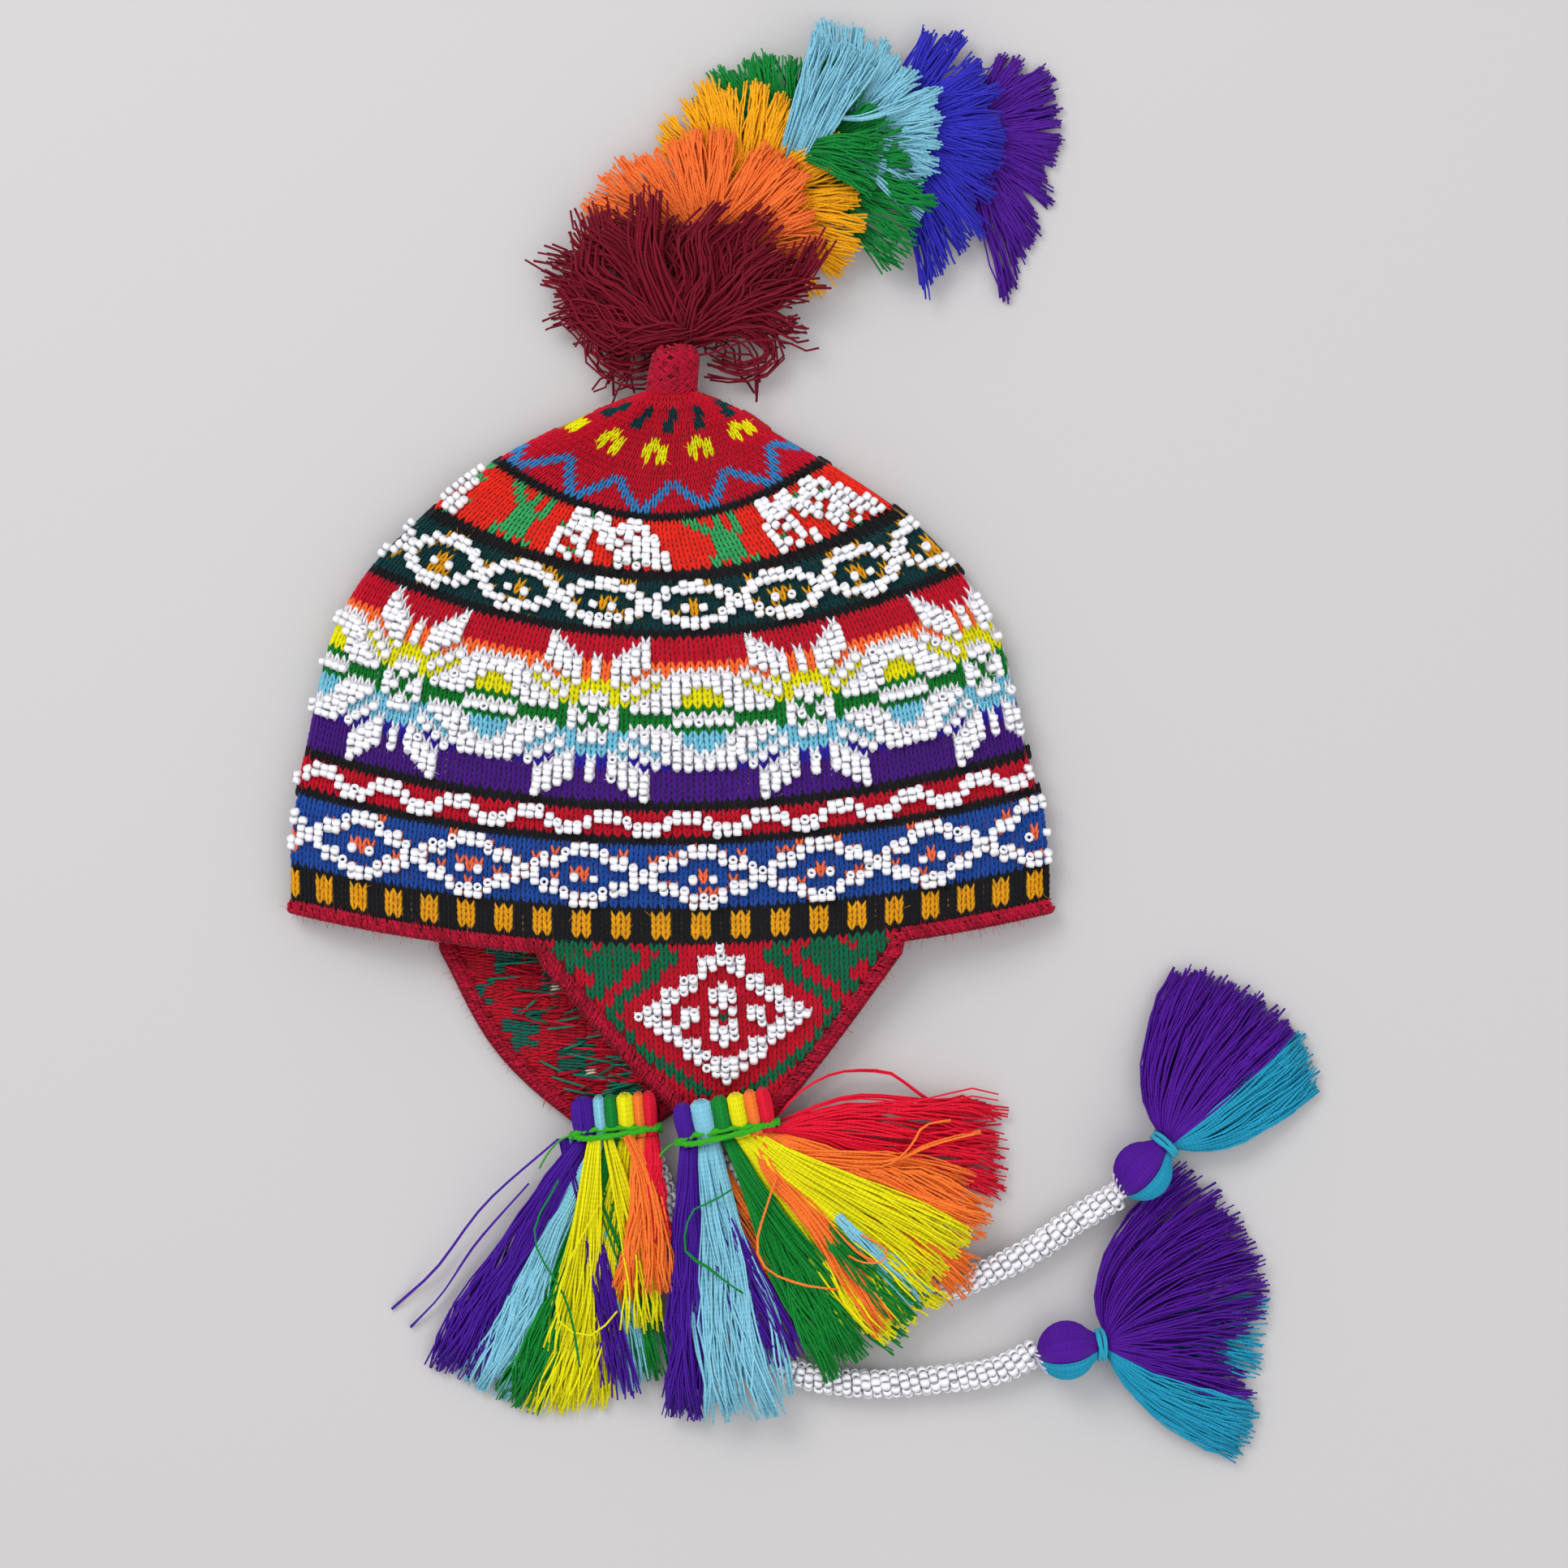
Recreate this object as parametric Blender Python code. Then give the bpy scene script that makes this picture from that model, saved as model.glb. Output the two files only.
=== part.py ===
"""Beaded chullo hat, lying flat on one side with its plume, ear flap tassels and bead ropes spread out.

+X runs from the left fold of the flattened crown to the right fold, +Y from the rim to the stem on
top of the crown, and +Z up from the surface that the hat lies on. The origin is on that surface,
under the middle of the crown. The near side is the one that faces up, the far side the one below.
"""

import math
from collections import namedtuple

import bmesh
import bpy
from mathutils import Vector

# Driving dimensions of the crown, in metres
RIM_WIDTH = 0.250
CROWN_HEIGHT = 0.165
CROWN_DEPTH = 0.026
KNIT_WALL = 0.003
FOLD_HEIGHT = 0.0055
RIM_BELOW_ORIGIN = 0.068
STEM_LENGTH = 0.0125
STEM_RADIUS = 0.0082
STEM_TOP_RADIUS = 0.0060
STEM_LEAN = 0.0032
STEM_DOME = 0.0032

# Driving dimensions of the ear flaps and of the crochet edge round them
FLAP_WALL = 0.0034
FLAP_LENGTH = 0.0695
NEAR_TIP_WIDTH = 0.0195
FAR_TIP_WIDTH = 0.0190
FAR_FLAP_LIFT = 0.0006
NEAR_TIP_LIFT = 0.0056
RIM_EDGE_WIDTH = 0.0046
FLAP_EDGE_WIDTH = 0.0055
EDGE_THICKNESS = 0.0044

# Driving dimensions of the flap tassels
SKIRT_LENGTH = 0.085
HEAD_LENGTH = 0.0125
HEAD_THICKNESS = 0.009
NECK_THICKNESS = 0.0048
TIE_THICKNESS = 0.0018

# Driving dimensions of the bead ropes and their end tassels
ROPE_DIAMETER = 0.0088
ROPE_END_SHARE = 0.5
BALL_DIAMETER = 0.0195
END_SKIRT_LENGTH = 0.056
END_TIE_THICKNESS = 0.0020

# Driving dimensions of the plume
PLUME_BEND_RADIUS = 0.0775
PLUME_REACH = 0.044
TIER_THICKNESS = 0.0052
TOP_TIER_THICKNESS = 0.0125
TIER_BACK = 0.0035

# Space left between pieces that touch
GAP = 0.0003

# Fineness of the faceted surfaces
CROWN_SIDES = 48
EDGE_SIDES = 6

# Rows of the crown from the rim up. up and droop are shares of CROWN_HEIGHT, width and lean of
# RIM_WIDTH and depth of CROWN_DEPTH: droop is how far the row's middle sags towards the rim, and lean
# how far the row lies to the right.
Row = namedtuple("Row", "up width lean droop depth")
CROWN_ROWS = (
    Row(0.000, 0.994, -0.003, 0.085, 0.77),
    Row(0.076, 0.993, -0.003, 0.088, 0.86),
    Row(0.172, 0.983, -0.003, 0.097, 0.95),
    Row(0.296, 0.944, -0.004, 0.109, 1.00),
    Row(0.413, 0.912, -0.004, 0.119, 1.00),
    Row(0.526, 0.872, -0.004, 0.127, 1.00),
    Row(0.646, 0.780, -0.006, 0.133, 0.98),
    Row(0.756, 0.639, -0.006, 0.135, 0.94),
    Row(0.850, 0.472, -0.013, 0.124, 0.88),
    Row(0.928, 0.290, -0.011, 0.090, 0.80),
    Row(0.971, 0.185, -0.002, 0.045, 0.72),
    Row(1.000, 0.085, 0.000, 0.000, 0.66),
)
HOLLOW_ROWS = 10

# Where each ear flap meets the rim and where its tip lies, as shares of half the rim's width. belly
# is how far its sides stand out between rim and tip, as a share of FLAP_LENGTH.
Flap = namedtuple("Flap", "left right tip belly")
NEAR_FLAP = Flap(-0.335, 0.594, 0.148, 0.020)
FAR_FLAP = Flap(-0.591, 0.337, -0.142, 0.110)

# Seams between the tassels of a flap and along the outsides of the first and last, anticlockwise
# from above. head is the seam's place across the cluster. It leaves the tie at one angle in degrees
# from +X and its far end lies at another, at length, a share of SKIRT_LENGTH. Each tassel fills the
# space between two seams.
Seam = namedtuple("Seam", "head leave angle length")
NEAR_SEAMS = (
    Seam(0.00, -95.0, -92.4, 1.064),
    Seam(0.17, -90.0, -89.4, 1.100),
    Seam(0.39, -76.0, -73.7, 1.100),
    Seam(0.56, -60.0, -57.1, 1.040),
    Seam(0.74, -42.0, -40.2, 1.048),
    Seam(0.87, -16.0, -16.6, 0.927),
    Seam(1.00, 26.0, 7.0, 0.814),
)
FAR_SEAMS = (
    Seam(0.00, -130.0, -122.9, 1.050),
    Seam(0.26, -121.0, -117.8, 1.075),
    Seam(0.39, -112.0, -111.6, 1.100),
    Seam(0.54, -106.0, -107.2, 1.130),
    Seam(0.75, -95.0, -95.6, 1.062),
    Seam(0.87, -90.0, -90.0, 1.030),
    Seam(1.00, -85.0, -86.4, 0.975),
)

# Tassels in the order of their seams. lift and drop are the height of the skirt's underside at its
# middle and at its end, as shares of ROPE_DIAMETER, so that a skirt passes over the bead ropes.
Tassel = namedtuple("Tassel", "colour lift drop")
NEAR_TASSELS = (
    Tassel("purple", 1.10, 0.45),
    Tassel("sky", 1.10, 1.10),
    Tassel("green", 1.10, 1.10),
    Tassel("yellow", 1.10, 1.10),
    Tassel("orange", 1.10, 1.10),
    Tassel("red", 0.70, 0.10),
)
FAR_TASSELS = (
    Tassel("purple", 0.25, 0.04),
    Tassel("sky", 0.25, 0.04),
    Tassel("green", 0.25, 0.04),
    Tassel("yellow", 0.25, 0.04),
    Tassel("orange", 1.10, 0.30),
    Tassel("red", 1.10, 1.10),
)
NEAR_CLUSTER_WIDTH = 0.0310
FAR_CLUSTER_WIDTH = 0.0265
NEAR_CLUSTER_TILT = 11.0
FAR_CLUSTER_TILT = 5.0

# The two yarns of an end tassel and the seams between them, in the same way: head is a share of
# BALL_DIAMETER, the angle is from +X, and length is a share of END_SKIRT_LENGTH. tall is the yarn's
# height over the ball as a share of BALL_DIAMETER.
Yarn = namedtuple("Yarn", "colour tall")
END_YARNS = (Yarn("turquoise", 0.72), Yarn("purple", 1.00))
UPPER_SEAMS = (
    Seam(0.00, -14.0, 22.0, 0.870),
    Seam(0.34, 38.0, 40.0, 0.980),
    Seam(1.00, 126.0, 84.0, 0.955),
)
LOWER_SEAMS = (
    Seam(0.00, -68.0, -40.0, 0.970),
    Seam(0.34, -34.0, -21.0, 0.930),
    Seam(1.00, 118.0, 65.5, 1.060),
)

# Tiers of the plume from the stem on. at is the tier's place along the bend in degrees, toward the
# way it faces in degrees from +X and half its spread in degrees; left, front and right are how far it
# reaches on that side as shares of PLUME_REACH.
Tier = namedtuple("Tier", "colour at toward half left front right locks")
PLUME_TIERS = (
    Tier("maroon", 172.0, 90.0, 115.0, 1.16, 1.04, 1.16, 14),
    Tier("orange", 152.0, 88.0, 88.0, 0.94, 0.94, 0.84, 10),
    Tier("gold", 137.0, 50.0, 98.0, 0.93, 0.84, 1.00, 10),
    Tier("green", 122.5, 50.0, 98.0, 0.95, 0.80, 1.28, 10),
    Tier("sky", 109.0, 38.0, 62.0, 0.90, 0.74, 0.76, 9),
    Tier("blue", 97.0, -2.0, 74.0, 0.84, 0.84, 1.30, 9),
    Tier("violet", 80.0, -8.0, 66.0, 0.72, 0.76, 1.27, 9),
)
ROOT_SINK_SHARE = 0.27

# Routes of the bead ropes on the surface, chosen by hand: x, y from the origin. A rope's first point
# follows its flap's tip and its last one its end tassel.
UPPER_ROPE = (
    (0.0225, -0.1580),
    (0.0300, -0.1700),
    (0.0405, -0.1810),
    (0.0560, -0.1900),
    (0.0720, -0.1945),
    (0.0880, -0.1942),
    (0.1030, -0.1893),
    (0.1180, -0.1818),
    (0.1320, -0.1718),
)
LOWER_ROPE = (
    (-0.0040, -0.1600),
    (0.0025, -0.1730),
    (0.0100, -0.1870),
    (0.0185, -0.2010),
    (0.0295, -0.2135),
    (0.0440, -0.2228),
    (0.0649, -0.2255),
    (0.0848, -0.2242),
    (0.1045, -0.2216),
)
UPPER_BALL = (0.1532, -0.1558)
LOWER_BALL = (0.1285, -0.2139)
UPPER_TASSEL_ANGLE = 50.0
LOWER_TASSEL_ANGLE = 9.0

# Yarn and bead colours: red, green and blue from 0 to 1, then roughness
COLOURS = {
    "knit": (0.50, 0.02, 0.04, 0.95),
    "crimson": (0.36, 0.01, 0.03, 0.95),
    "lime": (0.10, 0.55, 0.03, 0.85),
    "bead": (0.90, 0.90, 0.92, 0.25),
    "purple": (0.06, 0.01, 0.22, 0.80),
    "violet": (0.07, 0.01, 0.16, 0.85),
    "sky": (0.20, 0.58, 0.74, 0.85),
    "green": (0.00, 0.22, 0.05, 0.85),
    "yellow": (0.80, 0.80, 0.00, 0.85),
    "orange": (1.00, 0.18, 0.03, 0.85),
    "red": (0.63, 0.00, 0.03, 0.85),
    "maroon": (0.15, 0.00, 0.02, 0.90),
    "gold": (0.80, 0.36, 0.01, 0.85),
    "blue": (0.04, 0.03, 0.36, 0.85),
    "turquoise": (0.00, 0.24, 0.40, 0.80),
}


def material(name):
    """The material of that colour, made once."""
    found = bpy.data.materials.get(name)
    if found:
        return found
    red, green, blue, roughness = COLOURS[name]
    made = bpy.data.materials.new(name)
    made.use_nodes = True
    shader = made.node_tree.nodes["Principled BSDF"]
    shader.inputs["Base Color"].default_value = (red, green, blue, 1.0)
    shader.inputs["Roughness"].default_value = roughness
    shader.inputs["Metallic"].default_value = 0.0
    return made


def add_object(name, bm, colour):
    """Turn a bmesh into a named, smooth shaded object with its normals pointing out."""
    bmesh.ops.recalc_face_normals(bm, faces=bm.faces)
    mesh = bpy.data.meshes.new(name)
    bm.to_mesh(mesh)
    bm.free()
    mesh.shade_smooth()
    mesh.materials.append(material(colour))
    thing = bpy.data.objects.new(name, mesh)
    bpy.context.scene.collection.objects.link(thing)
    return thing


def add_ring(bm, points):
    return [bm.verts.new(point) for point in points]


def bridge(bm, first, second):
    """Faces between two closed rings with as many points each."""
    count = len(first)
    for i in range(count):
        j = (i + 1) % count
        bm.faces.new((first[i], first[j], second[j], second[i]))


def cap(bm, ring, centre):
    """Close a ring with a fan of triangles round one point."""
    middle = bm.verts.new(centre)
    for i in range(len(ring)):
        bm.faces.new((ring[i], ring[(i + 1) % len(ring)], middle))


def mix(a, b, share):
    return a + (b - a) * share


def heading(degrees):
    """The level unit vector at that angle from +X."""
    return Vector((math.cos(math.radians(degrees)), math.sin(math.radians(degrees)), 0.0))


# Crown


def lens_height(share, top, bottom, upper):
    """Height of a flattened ring at a share of its half width: rounded above, flat where it lies."""
    rise = math.sqrt(max(0.0, 1.0 - share * share))
    if upper:
        return FOLD_HEIGHT + (top - FOLD_HEIGHT) * rise
    return FOLD_HEIGHT + (bottom - FOLD_HEIGHT) * min(1.0, 1.25 * rise**0.7)


def row_y(row, share):
    """Where a row of the crown runs at a share of its half width: it droops in the middle."""
    middle = row.droop * CROWN_HEIGHT * (1.0 - share * share)
    return row.up * CROWN_HEIGHT - RIM_BELOW_ORIGIN - middle


def crown_ring(row, inset):
    """Points round one row of the crown, drawn in by inset for the wall's inner face."""
    half = row.width * RIM_WIDTH / 2 - inset
    top = row.depth * CROWN_DEPTH - inset
    points = []
    for k in range(CROWN_SIDES):
        angle = 2 * math.pi * k / CROWN_SIDES
        share = math.cos(angle)
        height = lens_height(share, top, inset, math.sin(angle) >= -1e-9)
        points.append((half * share + row.lean * RIM_WIDTH, row_y(row, share), height))
    return points


def make_crown():
    """The knitted crown: a hollow flattened cap, open along its rim."""
    bm = bmesh.new()
    outer = [add_ring(bm, crown_ring(row, 0.0)) for row in CROWN_ROWS]
    inner = [add_ring(bm, crown_ring(row, KNIT_WALL)) for row in CROWN_ROWS[:HOLLOW_ROWS]]
    for rings in (outer, inner):
        for first, second in zip(rings, rings[1:]):
            bridge(bm, first, second)
    bridge(bm, outer[0], inner[0])
    top = CROWN_ROWS[-1]
    cap(bm, outer[-1], (0.0, row_y(top, 0.0), top.depth * CROWN_DEPTH / 2))
    last = CROWN_ROWS[HOLLOW_ROWS - 1]
    middle = (last.lean * RIM_WIDTH, row_y(last, 0.5), last.depth * CROWN_DEPTH / 2)
    cap(bm, inner[-1], middle)
    return add_object("crown", bm, "knit")


def stem_centre_height():
    return STEM_RADIUS + GAP


def stem_end_y():
    return row_y(CROWN_ROWS[-1], 0.0) + GAP + STEM_LENGTH


def make_stem():
    """The short wrapped stem that the plume grows from."""
    bm = bmesh.new()
    sides = 14
    start = row_y(CROWN_ROWS[-1], 0.0) + GAP
    rings = []
    for share in (0.0, 0.3, 0.7, 1.0):
        points = []
        for k in range(sides):
            angle = 2 * math.pi * k / sides
            radius = mix(STEM_RADIUS, STEM_TOP_RADIUS, share**0.7)
            x = STEM_LEAN * share**2 + radius * math.cos(angle)
            z = stem_centre_height() + radius * math.sin(angle)
            points.append((x, start + share * STEM_LENGTH, z))
        rings.append(add_ring(bm, points))
    for first, second in zip(rings, rings[1:]):
        bridge(bm, first, second)
    cap(bm, rings[0], (0.0, start, stem_centre_height()))
    cap(bm, rings[-1], (STEM_LEAN, start + STEM_LENGTH + STEM_DOME, stem_centre_height()))
    return add_object("stem", bm, "crimson")


# Ear flaps


def rim_height(share):
    """Height of the near side's outer face at the rim."""
    return lens_height(share, CROWN_ROWS[0].depth * CROWN_DEPTH, 0.0, True)


def flap_tip(flap):
    """The middle of a flap's tip, on the surface."""
    return Vector((flap.tip * RIM_WIDTH / 2, -RIM_BELOW_ORIGIN - FLAP_LENGTH, 0.0))


def flap_point(flap, tip_width, near, across, along):
    """A point in the middle of a flap's wall, across from its left to its right edge, 0 to 1."""
    rim_share = mix(flap.left, flap.right, across)
    rim = Vector((rim_share * RIM_WIDTH / 2, row_y(CROWN_ROWS[0], rim_share) - GAP, 0.0))
    tip = flap_tip(flap) + Vector(((across - 0.5) * tip_width, 0.0, 0.0))
    point = rim.lerp(tip, along)
    belly = flap.belly * FLAP_LENGTH * math.sin(math.pi * max(0.0, along) ** 1.4)
    point.x += (2.0 * across - 1.0) * belly
    if near:
        from_rim = rim_height(rim_share) - FLAP_WALL / 2
        settle = 1.0 - max(0.0, 1.0 - along) ** 1.6
        point.z = mix(from_rim, NEAR_TIP_LIFT + FLAP_WALL / 2, settle)
    else:
        point.z = FAR_FLAP_LIFT + FLAP_WALL / 2
    return point


def make_flap(name, flap, tip_width, near):
    """One knitted ear flap: a thin wall that narrows from the rim to its tip."""
    bm = bmesh.new()
    across_steps = 8
    along_steps = 6
    grids = {}
    for side in (1, -1):
        for j in range(along_steps + 1):
            for i in range(across_steps + 1):
                middle = flap_point(flap, tip_width, near, i / across_steps, j / along_steps)
                middle.z += side * FLAP_WALL / 2
                grids[side, i, j] = bm.verts.new(middle)
    for side in (1, -1):
        for j in range(along_steps):
            for i in range(across_steps):
                corners = ((i, j), (i + 1, j), (i + 1, j + 1), (i, j + 1))
                bm.faces.new([grids[side, a, b] for a, b in corners])
    border = [(i, 0) for i in range(across_steps)]
    border += [(across_steps, j) for j in range(along_steps)]
    border += [(i, along_steps) for i in range(across_steps, 0, -1)]
    border += [(0, j) for j in range(along_steps, 0, -1)]
    bridge(bm, [grids[1, a, b] for a, b in border], [grids[-1, a, b] for a, b in border])
    return add_object(name, bm, "knit")


# Crochet edge


def flap_edge_route(flap, tip_width, near):
    """Places along a flap's left side, tip and right side, each with the way out of the cloth."""
    route = []
    steps = (0.10, 0.25, 0.40, 0.55, 0.70, 0.85, 0.96)
    left_way = heading(180.0 + 45.0)
    right_way = heading(-45.0)
    for across, way, along_steps in ((0.0, left_way, steps), (1.0, right_way, steps[::-1])):
        for along in along_steps:
            before = flap_point(flap, tip_width, near, across, along - 0.04)
            after = flap_point(flap, tip_width, near, across, along + 0.04)
            square = Vector((before.y - after.y, after.x - before.x, 0.0)).normalized()
            out = square if square.dot(way) > 0 else -square
            route.append((flap_point(flap, tip_width, near, across, along), out))
        if across == 0.0:
            for share in (0.0, 0.5, 1.0):
                lean = mix(-0.55, 0.55, share)
                down = Vector((lean, -1.0, 0.0)).normalized()
                route.append((flap_point(flap, tip_width, near, share, 1.0), down))
    half = FLAP_EDGE_WIDTH / 2 + GAP
    return [(point + out * half, out, FLAP_EDGE_WIDTH) for point, out in route]


def rim_edge_route(from_degrees, to_degrees):
    """Places round the crown's rim, by angle round the flattened ring, 0 at the right fold."""
    row = CROWN_ROWS[0]
    half = row.width * RIM_WIDTH / 2 - KNIT_WALL / 2
    top = row.depth * CROWN_DEPTH - KNIT_WALL / 2
    out = Vector((0.0, -1.0, 0.0))
    fold_steps = (-24, -14, -6, 0, 6, 14, 24)
    angles = set()
    low, high = sorted((from_degrees, to_degrees))
    for fold in (0, 180):
        angles.update(fold + step for step in fold_steps)
    angles.update(range(36, 150, 12))
    angles.update(range(-144, -30, 12))
    angles.update(range(216, 330, 12))
    kept = sorted(a for a in angles if low < a < high)
    kept = [from_degrees, *(kept if from_degrees < to_degrees else kept[::-1]), to_degrees]
    route = []
    for degrees in kept:
        share = math.cos(math.radians(degrees))
        upper = math.sin(math.radians(degrees)) >= -1e-9
        height = lens_height(share, top, EDGE_THICKNESS / 2 + GAP, upper)
        drop = RIM_EDGE_WIDTH / 2 + GAP
        point = Vector((half * share, row_y(row, share) - drop, height))
        route.append((point, out, RIM_EDGE_WIDTH))
    return route


def angle_at(share, upper):
    """The angle round the rim at a share of its half width."""
    degrees = math.degrees(math.acos(share))
    return degrees if upper else 360.0 - degrees


def edge_route():
    """The whole closed route: down round the near flap, along the rim, round the far flap, back."""
    near = flap_edge_route(NEAR_FLAP, NEAR_TIP_WIDTH, True)
    far = flap_edge_route(FAR_FLAP, FAR_TIP_WIDTH, False)
    clear = 0.03
    left = rim_edge_route(
        angle_at(NEAR_FLAP.left - clear, True), angle_at(FAR_FLAP.left - clear, False)
    )
    right = rim_edge_route(
        angle_at(FAR_FLAP.right + clear, False) - 360.0, angle_at(NEAR_FLAP.right + clear, True)
    )
    return near[::-1] + left + far + right


def make_crochet_edge():
    """One crocheted edge that runs right round the rim and both ear flaps."""
    route = edge_route()
    count = len(route)
    bm = bmesh.new()
    rings = []
    for i, (point, out, width) in enumerate(route):
        along = (route[(i + 1) % count][0] - route[i - 1][0]).normalized()
        out = (out - along * out.dot(along)).normalized()
        over = along.cross(out)
        points = []
        for k in range(EDGE_SIDES):
            angle = 2 * math.pi * (k + 0.5) / EDGE_SIDES
            across = out * (math.cos(angle) * width / 2)
            points.append(point + across + over * (math.sin(angle) * EDGE_THICKNESS / 2))
        rings.append(add_ring(bm, points))
    for i in range(count):
        bridge(bm, rings[i], rings[(i + 1) % count])
    return add_object("crochet_edge", bm, "crimson")


# Tassels

# A cross section of a tassel between two seams: first and second are where the seams pass, low and
# high its heights, ridge how far its locks stand out and bow how far its middle runs ahead.
Section = namedtuple("Section", "first second low high ridge bow")


def section_points(section, locks, advance):
    """A closed ring of 4 * locks points: over the top from seam to seam, then back beneath."""
    middle = (section.first + section.second) / 2
    across = (section.second - section.first).normalized()
    along = Vector((across.y, -across.x, 0.0))
    half_width = (section.second - section.first).length / 2 - GAP
    half_height = (section.high - section.low) / 2
    columns = 2 * locks
    order = [(c, 1) for c in range(columns + 1)] + [(c, -1) for c in range(columns - 1, 0, -1)]
    points = []
    for column, side in order:
        share = -1.0 + 2.0 * column / columns
        height = half_height * math.sqrt(max(0.0, 1.0 - abs(share) ** 2.6))
        if side > 0:
            height *= 1.0 + section.ridge * (1.0 if column % 2 else -1.0)
        forward = section.bow * (1.0 - share * share)
        if advance and column % 2:
            forward += advance * (0.75 + 0.25 * math.sin(2.4 * column))
        point = middle + across * (share * half_width) + along * forward
        point.z = (section.low + section.high) / 2 + side * height
        points.append(point)
    return points


def make_tassel_body(name, colour, pole, sections, locks, advance):
    """Skin the sections into one body, from its pole to its ragged end."""
    bm = bmesh.new()
    rings = []
    for i, section in enumerate(sections):
        last = i == len(sections) - 1
        rings.append(add_ring(bm, section_points(section, locks, advance if last else 0.0)))
    cap(bm, rings[0], pole)
    for first, second in zip(rings, rings[1:]):
        bridge(bm, first, second)
    end = rings[-1]
    columns = 2 * locks
    bottom = [end[0]] + end[:columns:-1] + [end[columns]]
    for c in range(columns):
        corners = [end[c], end[c + 1], bottom[c + 1], bottom[c]]
        bm.faces.new([v for i, v in enumerate(corners) if v not in corners[:i]])
    return add_object(name, bm, colour)


def seam_curve(start, seam, skirt_length, share):
    """A point on a seam's curve from its start at the tie."""
    length = seam.length * skirt_length
    pull = start + heading(seam.leave) * (length * 0.42)
    end = start + heading(seam.angle) * length
    return start.lerp(pull, share).lerp(pull.lerp(end, share), share)


def make_flap_tassel(name, tassel, seams, middle, across, width, neck_height):
    """A small tassel: a folded head above the tie, and a skirt of locks that fans out below."""
    line = Vector((across.y, -across.x, 0.0))
    starts = [middle + across * ((seam.head - 0.5) * width) for seam in seams]
    centre = (starts[0] + starts[1]) / 2
    half_neck = NECK_THICKNESS / 2
    half_tie = TIE_THICKNESS * 0.62 + GAP
    head_middle = neck_height + (HEAD_THICKNESS - NECK_THICKNESS) / 4
    sections = []
    for share, girth in ((0.90, 0.50), (0.64, 0.90), (0.34, 1.00)):
        back = line * (HEAD_LENGTH * share)
        ends = [centre + (start - centre) * girth - back for start in starts]
        tall = HEAD_THICKNESS / 2 * girth
        sections.append(Section(*ends, head_middle - tall, head_middle + tall, 0.0, 0.0))
    pole = centre - line * HEAD_LENGTH
    pole.z = head_middle
    for shift in (-half_tie, half_tie):
        ends = [start + line * shift for start in starts]
        sections.append(Section(*ends, neck_height - half_neck, neck_height + half_neck, 0.0, 0.0))
    lift = tassel.lift * ROPE_DIAMETER
    drop = tassel.drop * ROPE_DIAMETER
    below = [start + line * half_tie for start in starts]
    for share, low, thick, ridge in (
        (0.14, max(lift, 0.55 * neck_height), 0.0052, 0.10),
        (0.45, lift, 0.0062, 0.16),
        (0.75, mix(lift, drop, 0.25), 0.0056, 0.20),
        (0.97, drop, 0.0040, 0.25),
    ):
        ends = [seam_curve(start, seam, SKIRT_LENGTH, share) for start, seam in zip(below, seams)]
        bow = 0.08 * (ends[1] - ends[0]).length * share
        sections.append(Section(*ends, low, low + thick, ridge, bow))
    make_tassel_body(name, tassel.colour, pole, sections, 4, SKIRT_LENGTH * 0.05)


def make_tie(name, centre, across, half_width, half_height, thickness, colour):
    """A thread wound round the neck of a tassel: a flattened upright loop."""
    bm = bmesh.new()
    steps = 18
    sides = 4
    square = Vector((-across.y, across.x, 0.0))
    reach = thickness * 0.62
    rings = []
    for i in range(steps):
        angle = 2 * math.pi * i / steps
        flat_cos = math.copysign(abs(math.cos(angle)) ** 0.5, math.cos(angle))
        flat_sin = math.copysign(abs(math.sin(angle)) ** 0.5, math.sin(angle))
        up = Vector((0.0, 0.0, flat_sin))
        point = centre + across * ((half_width + reach) * flat_cos) + up * (half_height + reach)
        out = (across * flat_cos + up).normalized()
        points = []
        for k in range(sides):
            turn = 2 * math.pi * (k + 0.5) / sides
            points.append(point + out * (reach * math.cos(turn)) + square * (reach * math.sin(turn)))
        rings.append(add_ring(bm, points))
    for i in range(steps):
        bridge(bm, rings[i], rings[(i + 1) % steps])
    return add_object(name, bm, colour)


def make_cluster(side, flap, tassels, seams, width, tilt, tip_lift):
    """The six tassels at the tip of one flap and the thread that ties them."""
    across = heading(tilt)
    edge_top = tip_lift + FLAP_WALL / 2 + EDGE_THICKNESS / 2
    neck_height = edge_top + 2 * GAP + 1.24 * TIE_THICKNESS + NECK_THICKNESS / 2
    middle = flap_tip(flap) + Vector((0.0, -FLAP_EDGE_WIDTH, 0.0))
    for i, tassel in enumerate(tassels):
        name = f"{side}_tassel_{tassel.colour}"
        pair = seams[i : i + 2]
        make_flap_tassel(name, tassel, pair, middle, across, width, neck_height)
    centre = middle + Vector((0.0, 0.0, neck_height))
    half_height = NECK_THICKNESS / 2 + GAP
    make_tie(f"{side}_tie", centre, across, width / 2, half_height, TIE_THICKNESS, "lime")


def make_clusters():
    make_cluster(
        "near",
        NEAR_FLAP,
        NEAR_TASSELS,
        NEAR_SEAMS,
        NEAR_CLUSTER_WIDTH,
        NEAR_CLUSTER_TILT,
        NEAR_TIP_LIFT,
    )
    make_cluster(
        "far", FAR_FLAP, FAR_TASSELS, FAR_SEAMS, FAR_CLUSTER_WIDTH, FAR_CLUSTER_TILT, FAR_FLAP_LIFT
    )


# Bead ropes and end tassels


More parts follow.
